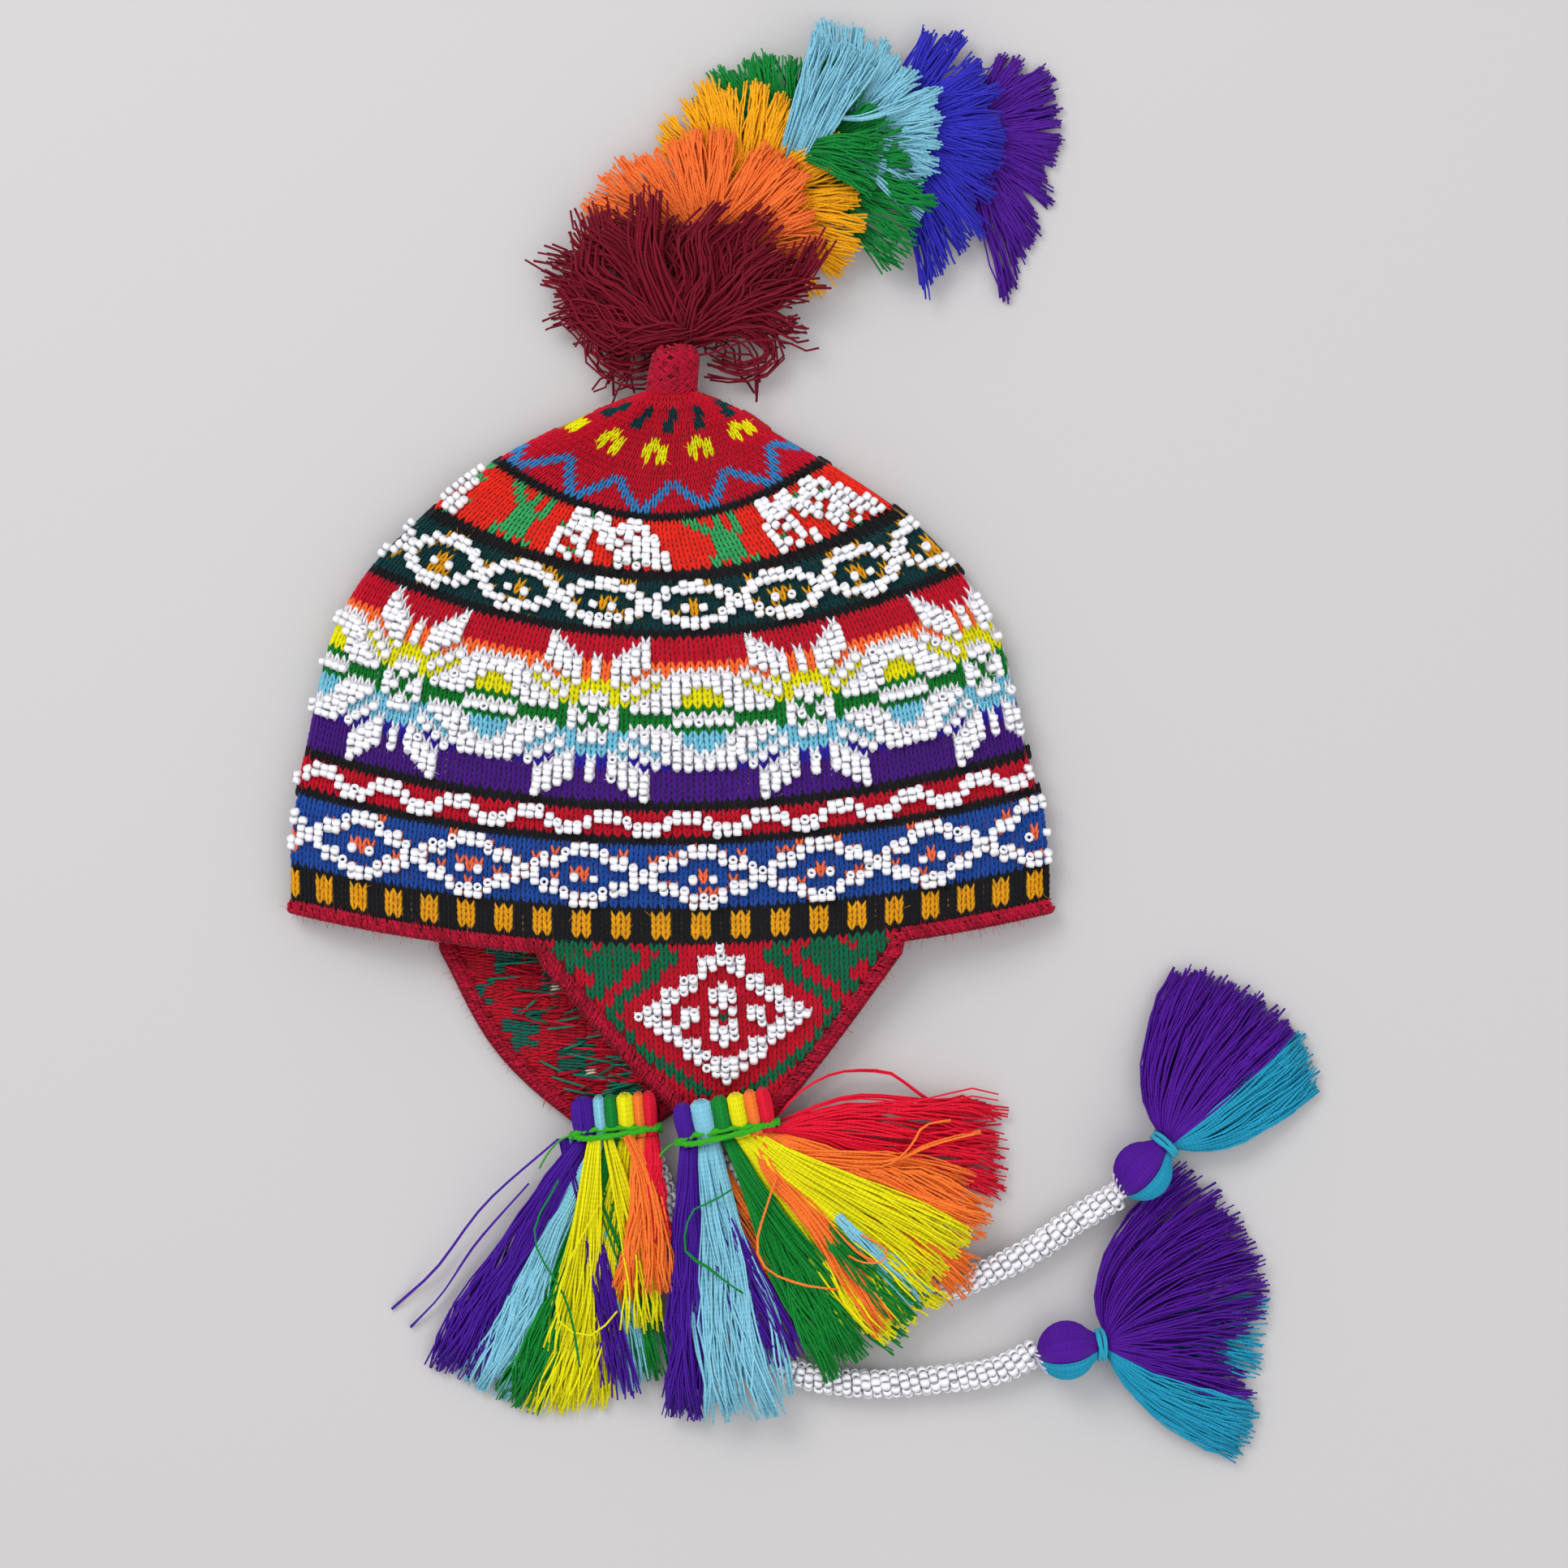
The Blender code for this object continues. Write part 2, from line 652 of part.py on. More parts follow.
def smooth_route(points, spacing):
    """Points about spacing apart, read from a smooth curve through the route's own points."""
    padded = [points[0] * 2 - points[1], *points, points[-1] * 2 - points[-2]]
    steps = 12
    fine = []
    for i in range(1, len(padded) - 2):
        before, start, end, after = padded[i - 1 : i + 3]
        for step in range(steps):
            t = step / steps
            linear = (end - before) * t
            square = (2 * before - 5 * start + 4 * end - after) * t * t
            cube = (3 * start - before - 3 * end + after) * t**3
            fine.append((2 * start + linear + square + cube) / 2)
    fine.append(points[-1])
    lengths = [0.0]
    for first, second in zip(fine, fine[1:]):
        lengths.append(lengths[-1] + (second - first).length)
    count = max(2, round(lengths[-1] / spacing))
    found = []
    for k in range(count + 1):
        target = lengths[-1] * k / count
        i = next((n for n, reached in enumerate(lengths) if reached >= target - 1e-9), len(fine) - 1)
        found.append(fine[i])
    return found


def make_rope(name, start, route, ball, angle):
    """A rope of seed beads round a core, from the flap's tip to the ball of its end tassel."""
    end = Vector((*ball, 0.0)) - heading(angle) * (BALL_DIAMETER / 2 + GAP)
    plan = smooth_route([start, *(Vector((x, y, 0.0)) for x, y in route), end], 2 * ROPE_DIAMETER)
    curve = bpy.data.curves.new(name, "CURVE")
    curve.dimensions = "3D"
    curve.bevel_depth = ROPE_DIAMETER / 2
    curve.bevel_resolution = 3
    curve.use_fill_caps = True
    spline = curve.splines.new("POLY")
    spline.points.add(len(plan) - 1)
    for i, place in enumerate(plan):
        girth = ROPE_END_SHARE if i == 0 else 1.0
        height = ROPE_DIAMETER / 2 * girth + GAP
        spline.points[i].co = (place.x, place.y, height, 1.0)
        spline.points[i].radius = girth
    curve.materials.append(material("bead"))
    rope = bpy.data.objects.new(name, curve)
    bpy.context.scene.collection.objects.link(rope)
    return rope


def make_ropes():
    """The two bead ropes. The lower one leaves the far flap at the right end of its tip."""
    clear = Vector((0.0, -FLAP_EDGE_WIDTH - 3 * GAP, 0.0))
    beside = Vector((FAR_TIP_WIDTH / 2, 0.0, 0.0))
    make_rope(
        "upper_bead_rope", flap_tip(NEAR_FLAP) + clear, UPPER_ROPE, UPPER_BALL, UPPER_TASSEL_ANGLE
    )
    make_rope(
        "lower_bead_rope",
        flap_tip(FAR_FLAP) + clear + beside,
        LOWER_ROPE,
        LOWER_BALL,
        LOWER_TASSEL_ANGLE,
    )


def make_end_tassel(side, ball, angle, seams):
    """A tassel of two yarns folded over a ball and tied: each yarn's head and skirt are one piece."""
    radius = BALL_DIAMETER / 2
    line = heading(angle)
    left = Vector((-line.y, line.x, 0.0))
    centre = Vector((*ball, 0.0))
    height = radius + GAP
    half_neck = radius * 0.42
    half_tie = END_TIE_THICKNESS * 0.62 + GAP
    neck = centre + line * (radius * 1.02 + half_tie)
    for i, yarn in enumerate(END_YARNS):
        pair = seams[i : i + 2]
        across = [left * (2 * seam.head - 1.0) for seam in pair]
        locks = max(3, round(9 * (pair[1].head - pair[0].head)))
        sections = []
        for share in (-0.88, -0.45, 0.10, 0.62, 0.88):
            girth = math.sqrt(1.0 - share * share)
            ends = [centre + line * (radius * share) + way * (radius * girth) for way in across]
            tall = radius * girth * yarn.tall
            sections.append(Section(*ends, height - tall, height + tall, 0.0, 0.0))
        pole = centre - line * radius + (across[0] + across[1]) * (radius * 0.22)
        pole.z = height
        starts = [neck + way * half_neck for way in across]
        for shift in (-half_tie, half_tie):
            ends = [start + line * shift for start in starts]
            sections.append(Section(*ends, height - half_neck, height + half_neck, 0.0, 0.0))
        below = [start + line * half_tie for start in starts]
        for share, low, thick, ridge in (
            (0.18, 0.0016, 0.0120, 0.08),
            (0.48, 0.0004, 0.0120, 0.14),
            (0.78, 0.0003, 0.0085, 0.18),
            (0.97, 0.0003, 0.0045, 0.22),
        ):
            ends = [seam_curve(start, seam, END_SKIRT_LENGTH, share) for start, seam in zip(below, pair)]
            bow = 0.15 * (ends[1] - ends[0]).length * share
            sections.append(Section(*ends, low, low + thick, ridge, bow))
        name = f"{side}_end_tassel_{yarn.colour}"
        make_tassel_body(name, yarn.colour, pole, sections, locks, END_SKIRT_LENGTH * 0.05)
    spot = neck + Vector((0.0, 0.0, height))
    make_tie(f"{side}_end_tie", spot, left, half_neck, half_neck + GAP, END_TIE_THICKNESS, "turquoise")


# Plume


def plume_pivot():
    """The centre that the plume bends round, set so that the first tier stands on the stem."""
    first = heading(PLUME_TIERS[0].at) * PLUME_BEND_RADIUS
    root = Vector((STEM_LEAN, stem_end_y() + STEM_DOME + GAP + TIER_BACK, 0.0))
    return root - first


def tier_units(pivot, place, index):
    """How many tiers further along the bend a place lies than the root of this tier."""
    offset = place - pivot
    degrees = math.degrees(math.atan2(offset.y, offset.x))
    stops = [tier.at for tier in PLUME_TIERS]
    if degrees < -90.0:
        degrees += 360.0
    if degrees >= stops[0]:
        reading = (stops[0] - degrees) / (stops[0] - stops[1])
    elif degrees <= stops[-1]:
        reading = len(stops) - 1 + (stops[-1] - degrees) / (stops[-2] - stops[-1])
    else:
        below = max(i for i, stop in enumerate(stops) if stop >= degrees)
        reading = below + (stops[below] - degrees) / (stops[below] - stops[below + 1])
    return reading - index


def make_tier(index, tier, pivot):
    """One tuft of the plume: locks that fan out from its root and lie over the next tuft."""
    step = TIER_THICKNESS + GAP * 1.5
    beneath = len(PLUME_TIERS) - 1 - index
    thickness = TOP_TIER_THICKNESS if index == 0 else TIER_THICKNESS
    root = pivot + heading(tier.at) * PLUME_BEND_RADIUS
    columns = 2 * tier.locks
    bm = bmesh.new()

    def low_at(place):
        units = tier_units(pivot, place, index) + ROOT_SINK_SHARE
        return step * min(max(units, 0.0), beneath)

    def vertex(place, ring_share, column, upper):
        low = low_at(place)
        if not upper:
            return bm.verts.new((place.x, place.y, low))
        ridge = 0.16 if column % 2 else -0.16
        swell = 0.62 + 0.38 * math.sin(math.pi * min(1.0, 0.25 + 0.75 * ring_share))
        thick = thickness * swell * (1.0 - (0.0 if ring_share == 0 else 0.16 - ridge))
        return bm.verts.new((place.x, place.y, low + thick))

    back = root - heading(tier.toward) * TIER_BACK
    centre = {side: vertex(back, 0.0, 1, side) for side in (True, False)}
    rings = []
    for share in (0.16, 0.42, 0.70, 1.0):
        ring = {True: [], False: []}
        for column in range(columns + 1):
            lean = 1.0 - 2.0 * column / columns
            side_reach = tier.left if lean > 0.0 else tier.right
            length = mix(tier.front, side_reach, lean * lean) * PLUME_REACH * share
            length *= 1.0 - 0.012 * max(0.0, abs(lean) * tier.half - 90.0)
            if share == 1.0:
                wave = 0.04 * math.sin(1.7 * column + index)
                length *= (1.0 if column % 2 else 0.87) + wave
            place = root + heading(tier.toward + tier.half * lean) * length
            for side in (True, False):
                ring[side].append(vertex(place, share, column, side))
        rings.append(ring)
    for side in (True, False):
        for c in range(columns):
            bm.faces.new((centre[side], rings[0][side][c], rings[0][side][c + 1]))
        for first, second in zip(rings, rings[1:]):
            for c in range(columns):
                bm.faces.new(
                    (first[side][c], first[side][c + 1], second[side][c + 1], second[side][c])
                )
    border = [(ring, 0) for ring in rings] + [(rings[-1], c) for c in range(1, columns)]
    border += [(ring, columns) for ring in reversed(rings)]
    upper = [centre[True]] + [ring[True][c] for ring, c in border]
    lower = [centre[False]] + [ring[False][c] for ring, c in border]
    bridge(bm, upper, lower)
    return add_object(f"plume_{tier.colour}", bm, tier.colour)


def make_plume():
    pivot = plume_pivot()
    for index, tier in enumerate(PLUME_TIERS):
        make_tier(index, tier, pivot)


def main():
    for thing in list(bpy.data.objects):
        bpy.data.objects.remove(thing)
    make_crown()
    make_stem()
    make_flap("near_flap", NEAR_FLAP, NEAR_TIP_WIDTH, True)
    make_flap("far_flap", FAR_FLAP, FAR_TIP_WIDTH, False)
    make_crochet_edge()
    make_clusters()
    make_ropes()
    make_end_tassel("upper", UPPER_BALL, UPPER_TASSEL_ANGLE, UPPER_SEAMS)
    make_end_tassel("lower", LOWER_BALL, LOWER_TASSEL_ANGLE, LOWER_SEAMS)
    make_plume()


main()
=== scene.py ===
"""Beaded chullo hat, lying flat with its plume, tassels and bead ropes spread out: the looks.

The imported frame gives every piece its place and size. This script dresses it: knitted stitches and
seed beads on the crown and ear flaps, a crocheted edge, yarn tassels, bead ropes and a plume.
"""

import logging
import math
from collections.abc import Callable
from dataclasses import astuple, dataclass, field
from enum import Enum
from typing import ClassVar

import bpy
import numpy as np
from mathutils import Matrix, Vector

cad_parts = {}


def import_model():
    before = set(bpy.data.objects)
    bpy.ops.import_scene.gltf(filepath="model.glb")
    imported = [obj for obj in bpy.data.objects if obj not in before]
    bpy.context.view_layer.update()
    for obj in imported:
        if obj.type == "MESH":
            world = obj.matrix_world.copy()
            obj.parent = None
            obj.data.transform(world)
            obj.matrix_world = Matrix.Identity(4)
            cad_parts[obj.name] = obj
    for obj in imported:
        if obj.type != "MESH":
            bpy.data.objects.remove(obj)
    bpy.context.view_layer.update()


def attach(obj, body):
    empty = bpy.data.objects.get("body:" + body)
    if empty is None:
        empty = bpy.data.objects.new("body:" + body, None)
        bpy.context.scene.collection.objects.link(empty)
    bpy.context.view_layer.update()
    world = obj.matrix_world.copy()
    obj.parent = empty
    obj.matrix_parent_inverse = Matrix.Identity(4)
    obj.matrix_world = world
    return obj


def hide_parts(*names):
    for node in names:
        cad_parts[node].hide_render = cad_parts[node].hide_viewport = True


LOG = logging.getLogger("chullo_hat")
BODY = "root"
GAP = 0.0003
SURFACE = 0.0001
TAU = 2.0 * math.pi
UP = np.array([0.0, 0.0, 1.0])


# Colour and node helpers


def linear(hex_colour: str) -> tuple[float, float, float, float]:
    """Turn an sRGB hex colour into linear red, green, blue and alpha.

    Args:
        hex_colour: six hex digits, with or without a leading #.

    Returns:
        Four numbers from 0 to 1, the last one 1.
    """
    digits = hex_colour.lstrip("#")
    channels = [int(digits[i : i + 2], 16) / 255.0 for i in (0, 2, 4)]
    red, green, blue = (c / 12.92 if c <= 0.04045 else ((c + 0.055) / 1.055) ** 2.4 for c in channels)
    return (red, green, blue, 1.0)


def feed(tree: bpy.types.NodeTree, socket: bpy.types.NodeSocket, value: object) -> None:
    """Link an input to the output that feeds it, or set its constant."""
    if isinstance(value, bpy.types.NodeSocket):
        tree.links.new(value, socket)
    else:
        socket.default_value = value


def add_node(
    tree: bpy.types.NodeTree,
    kind: str,
    settings: dict | None = None,
    inputs: dict | None = None,
    out: int | str = 0,
) -> bpy.types.NodeSocket:
    """Add a shader node with its settings and links.

    Args:
        tree: the node tree that gets the node.
        kind: the node's type name, without the ShaderNode in front.
        settings: attributes of the node, by name.
        inputs: sockets by name or index, each with a value or the output that feeds it.
        out: the name or index of the output that is wanted.

    Returns:
        That output of the new node.
    """
    node = tree.nodes.new("ShaderNode" + kind)
    for key, value in (settings or {}).items():
        setattr(node, key, value)
    for key, value in (inputs or {}).items():
        feed(tree, node.inputs[key], value)
    return node.outputs[out]


def add_math(tree: bpy.types.NodeTree, operation: str, *values: object) -> bpy.types.NodeSocket:
    """Add a math node that works on these values or outputs."""
    return add_node(tree, "Math", {"operation": operation}, dict(enumerate(values)))


def add_mix(tree: bpy.types.NodeTree, share: object, first: str, second: str) -> bpy.types.NodeSocket:
    """Add a mix of two sRGB hex colours, the second one by that share."""
    return add_node(tree, "Mix", {"data_type": "RGBA"}, {0: share, 6: linear(first), 7: linear(second)}, 2)


class Hue(Enum):
    """Dyed yarn colours of the hat, as sRGB hex, and one dark colour that is painted shade beneath the crochet
    loops.
    """

    BLACK = "#17161A"
    MUSTARD = "#E2A010"
    ROYAL = "#1E4C9E"
    CORAL = "#F07048"
    CRIMSON = "#C40C28"
    ORANGE = "#FF7432"
    YELLOW = "#EAE400"
    GREEN = "#067A28"
    SKY = "#78C4DC"
    INDIGO = "#2C1CA0"
    PURPLE = "#48157E"
    TEAL = "#05383C"
    SCARLET = "#E82A1A"
    MINT = "#38A862"
    ZIGZAG = "#3884C0"
    WHITE = "#ECEAEE"
    FLAP_GREEN = "#046A46"
    BINDING = "#AE1030"
    # Painted shade: the dark under the crochet loops of the edge and the stem
    BINDING_SHADE = "#5E0616"
    CREAM = "#E8DEC4"
    FLOAT_GREEN = "#0A6E5C"

    @property
    def dye(self) -> np.ndarray:
        """The colour as linear red, green, blue and alpha."""
        return np.array(linear(self.value))


# Finishes


@dataclass(frozen=True)
class Finish:
    """What every finish shares: its material's name, its Principled settings and its bump."""

    name: str
    roughness: float = 0.8
    sheen: float = 0.0
    constants: ClassVar[dict[str, float]] = {"Specular IOR Level": 0.15}
    bump: ClassVar[tuple[float, float]] = (0.0, 0.0)

    def dress(self, piece: bpy.types.Object) -> None:
        """Put this finish on a piece, in place of any other."""
        piece.data.materials.clear()
        piece.data.materials.append(bpy.data.materials.get(self.name) or self.build())

    def build(self) -> bpy.types.Material:
        """Make the material from its constants, its own colour and its own height."""
        made = bpy.data.materials.new(self.name)
        made.use_nodes = True
        tree = made.node_tree
        shader = tree.nodes["Principled BSDF"]
        shared = {
            "Roughness": self.roughness,
            "Metallic": 0.0,
            "Sheen Weight": self.sheen,
            "Sheen Roughness": 0.45,
        }
        for key, value in {**shared, **self.constants}.items():
            shader.inputs[key].default_value = value
        colour, height = self.paint(tree)
        feed(tree, shader.inputs["Base Color"], colour)
        if height:
            strength, distance = self.bump
            inputs = {"Height": height, "Strength": strength, "Distance": distance}
            feed(tree, shader.inputs["Normal"], add_node(tree, "Bump", None, inputs))
        return made

    def paint(self, tree: bpy.types.NodeTree) -> tuple[object, object]:
        """The base colour and the height of the bump. Each kind of finish has its own."""
        raise NotImplementedError


@dataclass(frozen=True)
class KnittedYarn(Finish):
    """Worsted acrylic and wool yarn, knitted: its colour is the piece's yarn attribute, the dye, darkened
    as painted shade on the cloths and cores that show between stitches and loops.

    Spun fibres give the eye a soft, matt surface with fine flecks and a light halo at its edges.
    """

    fibre_mm: float = 0.45
    fleck: float = 0.30
    bump: ClassVar[tuple[float, float]] = (0.55, 0.0004)

    def paint(self, tree: bpy.types.NodeTree) -> tuple[object, object]:
        """The yarn attribute with flecks, over a fibre bump."""
        dye = add_node(tree, "Attribute", {"attribute_name": "yarn"}, out="Color")
        place = add_node(tree, "TexCoord", out="Object")
        stretch = add_node(tree, "Mapping", None, {"Vector": place, "Scale": (1.6, 0.7, 1.0)})
        scale = 1.0 / (self.fibre_mm * 0.001)
        grain = {"Vector": stretch, "Scale": scale, "Detail": 3.0, "Roughness": 0.7}
        fibre = add_node(tree, "TexNoise", None, grain, "Fac")
        low, high = 1.0 - self.fleck, 1.0 + self.fleck
        spread = {"Value": fibre, "From Min": 0.3, "From Max": 0.7, "To Min": low, "To Max": high}
        light = add_node(tree, "MapRange", None, spread)
        return add_node(tree, "VectorMath", {"operation": "SCALE"}, {0: dye, "Scale": light}), fibre


@dataclass(frozen=True)
class StrandYarn(Finish):
    """Loose two-ply yarn of a tassel or plume: round strands that catch soft light along their length.

    The strand attribute holds the distance along the strand in millimetres, the share round it and
    the strand's tone, so that the twist of the plies follows each strand. The tone mixes in the deep
    colour: partly at random, partly as painted shade for strands that lie low beneath others. The
    grooves between the plies get painted shade as well.
    """

    colour: str = "#FFFFFF"
    deep: str = "#808080"
    twist_mm: float = 1.5
    tone_range: float = 0.32
    bump: ClassVar[tuple[float, float]] = (0.2, 0.0002)

    def paint(self, tree: bpy.types.NodeTree) -> tuple[object, object]:
        """Each strand's tone, partly painted shade, with painted shade in the grooves between its plies."""
        strand = add_node(tree, "Attribute", {"attribute_name": "strand"}, out="Vector")
        along, round_it, shade_and_tone = add_node(tree, "SeparateXYZ", None, {0: strand}).node.outputs
        turns = add_math(tree, "MULTIPLY_ADD", along, 1.0 / self.twist_mm, round_it)
        groove = add_math(tree, "SINE", add_math(tree, "MULTIPLY", turns, TAU))
        # Painted shade in the grooves between the plies, added to the strand's tone as a share of the deep
        # colour
        spread = {"Value": groove, "From Min": -1.0, "From Max": 1.0, "To Min": 0.0, "To Max": 0.10}
        ply = add_node(tree, "MapRange", None, spread)
        level = add_math(tree, "MULTIPLY_ADD", shade_and_tone, self.tone_range, ply)
        return add_mix(tree, level, self.colour, self.deep), groove


@dataclass(frozen=True)
class OpaqueGlass(Finish):
    """Opaque white seed bead glass, fire-polished: smooth and glossy, with a small bright highlight."""

    constants: ClassVar[dict[str, float]] = {"Specular IOR Level": 0.5, "IOR": 1.52}

    def paint(self, tree: bpy.types.NodeTree) -> tuple[object, object]:
        """White that changes faintly over the beads, with no bump."""
        place = add_node(tree, "TexCoord", out="Object")
        cloud = add_node(tree, "TexNoise", None, {"Vector": place, "Scale": 260.0, "Detail": 1.0}, "Fac")
        return add_mix(tree, cloud, "#F6F6F8", "#EFEFF4"), None


@dataclass(frozen=True)
class PaintedFloor(Finish):
    """Plain pale studio floor, matt paper with a barely seen grain."""

    bump: ClassVar[tuple[float, float]] = (0.12, 0.0004)

    def paint(self, tree: bpy.types.NodeTree) -> tuple[object, object]:
        """One pale grey over a low paper grain."""
        place = add_node(tree, "TexCoord", out="Object")
        grain = add_node(tree, "TexNoise", None, {"Vector": place, "Scale": 900.0, "Detail": 2.0}, "Fac")
        return linear("#C5C3C2"), grain


WOOL = KnittedYarn("knitted wool", 0.9, 0.06)
BEAD_GLASS = OpaqueGlass("opaque glass seed beads", 0.16)


# Curves and vectors


def unit(vectors: np.ndarray) -> np.ndarray:
    """The vectors at length one."""
    return vectors / (np.linalg.norm(vectors, axis=-1, keepdims=True) + 1e-12)


def heading(degrees: float | np.ndarray) -> np.ndarray:
    """The level unit vector at that angle from +X, for one angle or an array of them."""
    turn = np.radians(degrees)
    return np.stack([np.cos(turn), np.sin(turn), np.zeros_like(turn)], axis=-1)


def left_of(ahead: np.ndarray) -> np.ndarray:
    """The level vectors a quarter turn to the left of these."""
    return np.stack([-ahead[..., 1], ahead[..., 0], np.zeros_like(ahead[..., 0])], axis=-1)


def smooth_way(stops: np.ndarray, steps: int) -> np.ndarray:
    """A smooth curve through the stops, with that many steps from each to the next."""
    padded = np.concatenate([2 * stops[:1] - stops[1:2], stops, 2 * stops[-1:] - stops[-2:-1]])
    t = np.linspace(0.0, 1.0, steps, endpoint=False)[:, None]
    pieces = [
        0.5 * (2 * b + (c - a) * t + (2 * a - 5 * b + 4 * c - d) * t**2 + (3 * b - a - 3 * c + d) * t**3)
        for a, b, c, d in zip(padded, padded[1:], padded[2:], padded[3:])
    ]
    return np.concatenate([*pieces, stops[-1:]])


def measure(line: np.ndarray) -> np.ndarray:
    """How far along a line each of its points lies."""
    return np.concatenate([[0.0], np.cumsum(np.linalg.norm(np.diff(line, axis=0), axis=1))])


def pick(line: np.ndarray, along: np.ndarray, spots: np.ndarray) -> np.ndarray:
    """The points of a line at distances along it."""
    return np.stack([np.interp(spots, along, line[:, k]) for k in range(line.shape[1])], axis=-1)


def lit(dye: np.ndarray, light: np.ndarray) -> np.ndarray:
    """Dyes made lighter or darker, with their alpha kept."""
    return dye * np.concatenate([light, light, light, np.ones_like(light)], axis=-1)


def toned(rng: np.random.Generator, middle: float, spread: float, number: int) -> np.ndarray:
    """Random shares of the deeper colour for so many strands, from 0 to 1."""
    return np.clip(rng.normal(middle, spread, number), 0.0, 1.0)


# Mesh helpers


def deselect_all() -> None:
    """Leave nothing selected, in object mode."""
    if bpy.context.mode != "OBJECT":
        bpy.ops.object.mode_set(mode="OBJECT")
    bpy.ops.object.select_all(action="DESELECT")


@dataclass(frozen=True)
class Shape:
    """A small shape that is modelled once and copied many times."""

    points: np.ndarray
    faces: tuple[tuple[int, ...], ...]

    @classmethod
    def from_active(cls) -> "Shape":
        """Take the active object's mesh as a shape and remove the object."""
        thing = bpy.context.view_layer.objects.active
        mesh = thing.data
        points = np.array([thing.matrix_world @ v.co for v in mesh.vertices])
        faces = tuple(tuple(p.vertices) for p in mesh.polygons)
        bpy.data.objects.remove(thing)
        bpy.data.meshes.remove(mesh)
        return cls(points, faces)


class Copies:
    """Copies of shapes and tubes, collected as arrays and joined into one mesh."""

    def __init__(self) -> None:
        """Start with no copies."""
        self.points: list[np.ndarray] = []
        self.faces: dict[int, list[np.ndarray]] = {3: [], 4: []}
        self.marks: dict[str, list[np.ndarray]] = {}
        self.count = 0

    def mark(self, name: str, values: np.ndarray) -> None:
        """Add one value for each new point to the attribute of that name."""
        self.marks.setdefault(name, []).append(values)

    def add_points(self, points: np.ndarray) -> int:
        """Add points of shape (n, 3), and give the index of the first one."""
        first = self.count
        self.points.append(points)
        self.count += len(points)
        return first

    def add_faces(self, faces: np.ndarray) -> None:
        """Add faces of three or four corners each, as an array of point indices."""
        self.faces[faces.shape[1]].append(faces)

    def add_shapes(
        self, shape: Shape, origins: np.ndarray, axes: np.ndarray, dye: np.ndarray | None = None
    ) -> None:
        """Add a copy of a shape at each origin, with its faces outward for axes of either hand.

        Args:
            shape: the shape to copy.
            origins: where each copy goes, of shape (n, 3).
            axes: each copy's three axes as rows, of shape (n, 3, 3).
            dye: each copy's colour, of shape (n, 4), if it has its own.
        """
        flipped = np.linalg.det(axes) < 0
        for mirrored in (False, True):
            kept = flipped == mirrored
            if not kept.any():
                continue
            points = origins[kept][:, None] + np.einsum("pk,nkc->npc", shape.points, axes[kept])
            first = self.add_points(points.reshape(-1, 3))
            offsets = first + len(shape.points) * np.arange(len(points))
            for corners in (3, 4):
                faces = np.array([f for f in shape.faces if len(f) == corners], dtype=np.int64)
                if len(faces):
                    faces = faces[:, ::-1] if mirrored else faces
                    self.add_faces((offsets[:, None, None] + faces[None]).reshape(-1, corners))
            if dye is not None:
                self.mark("yarn", np.repeat(dye[kept], len(shape.points), axis=0))

    def add_tubes(
        self,
        paths: np.ndarray,
        radii: float | np.ndarray,
        shades_and_tones: float | np.ndarray = 0.0,
        sides: int = 3,
        dye: np.ndarray | None = None,
    ) -> None:
        """Add a closed tube along each path, with the strand attribute or its own dye.

        Args:
            paths: points along each strand, of shape (n, m, 3).
            radii: the tubes' radius, or one at each point, of shape (n, m).
            shades_and_tones: for all strands or each, 0 to 1; partly random tone, partly painted shade.
            sides: how many sides each tube has.
            dye: each strand's colour, of shape (n, 4), in place of its tone.
        """
        number, steps, _ = paths.shape
        radii = np.broadcast_to(radii, (number, steps))
        ahead = unit(np.gradient(paths, axis=1))
        upward = np.where(np.abs(ahead[..., 2:]) > 0.97, (0.0, 1.0, 0.0), UP)
        across = unit(np.cross(ahead, upward))
        over = np.cross(across, ahead)
        angles = TAU * (np.arange(sides) + 0.25) / sides
        ring = across[:, :, None] * np.cos(angles)[None, None, :, None]
        ring = ring + over[:, :, None] * np.sin(angles)[None, None, :, None]
        points = paths[:, :, None] + ring * radii[:, :, None, None]
        first = self.add_points(points.reshape(-1, 3))
        index = first + np.arange(number * steps * sides).reshape(number, steps, sides)
        turned = np.roll(index, -1, axis=2)
        quads = np.stack([index[:, :-1], index[:, 1:], turned[:, 1:], turned[:, :-1]], axis=-1)
        self.add_faces(quads.reshape(-1, 4))
        for end in (index[:, 0], index[:, -1, ::-1]):
            self.add_faces(end[:, :4])
        if dye is not None:
            self.mark("yarn", np.repeat(dye, steps * sides, axis=0))
            return
        lengths = np.linalg.norm(np.diff(paths, axis=1), axis=2)
        along = np.concatenate([np.zeros((number, 1)), np.cumsum(lengths, axis=1)], axis=1) * 1000.0
        marks = np.zeros((number, steps, sides, 3))
        marks[..., 0] = along[:, :, None]
        marks[..., 1] = (np.arange(sides) / sides)[None, None]
        # Each strand's tone, which callers partly set as painted shade for strands lying low
        marks[..., 2] = np.broadcast_to(shades_and_tones, number)[:, None, None]
        self.mark("strand", marks.reshape(-1, 3))

    def build(self, name: str) -> bpy.types.Object:
        """Join everything into one smooth shaded object.

        Args:
            name: the new object's name.

        Returns:
            The object, at the origin, with its attributes set.
        """
        mesh = bpy.data.meshes.new(name)
        points = np.concatenate(self.points).astype(np.float32)
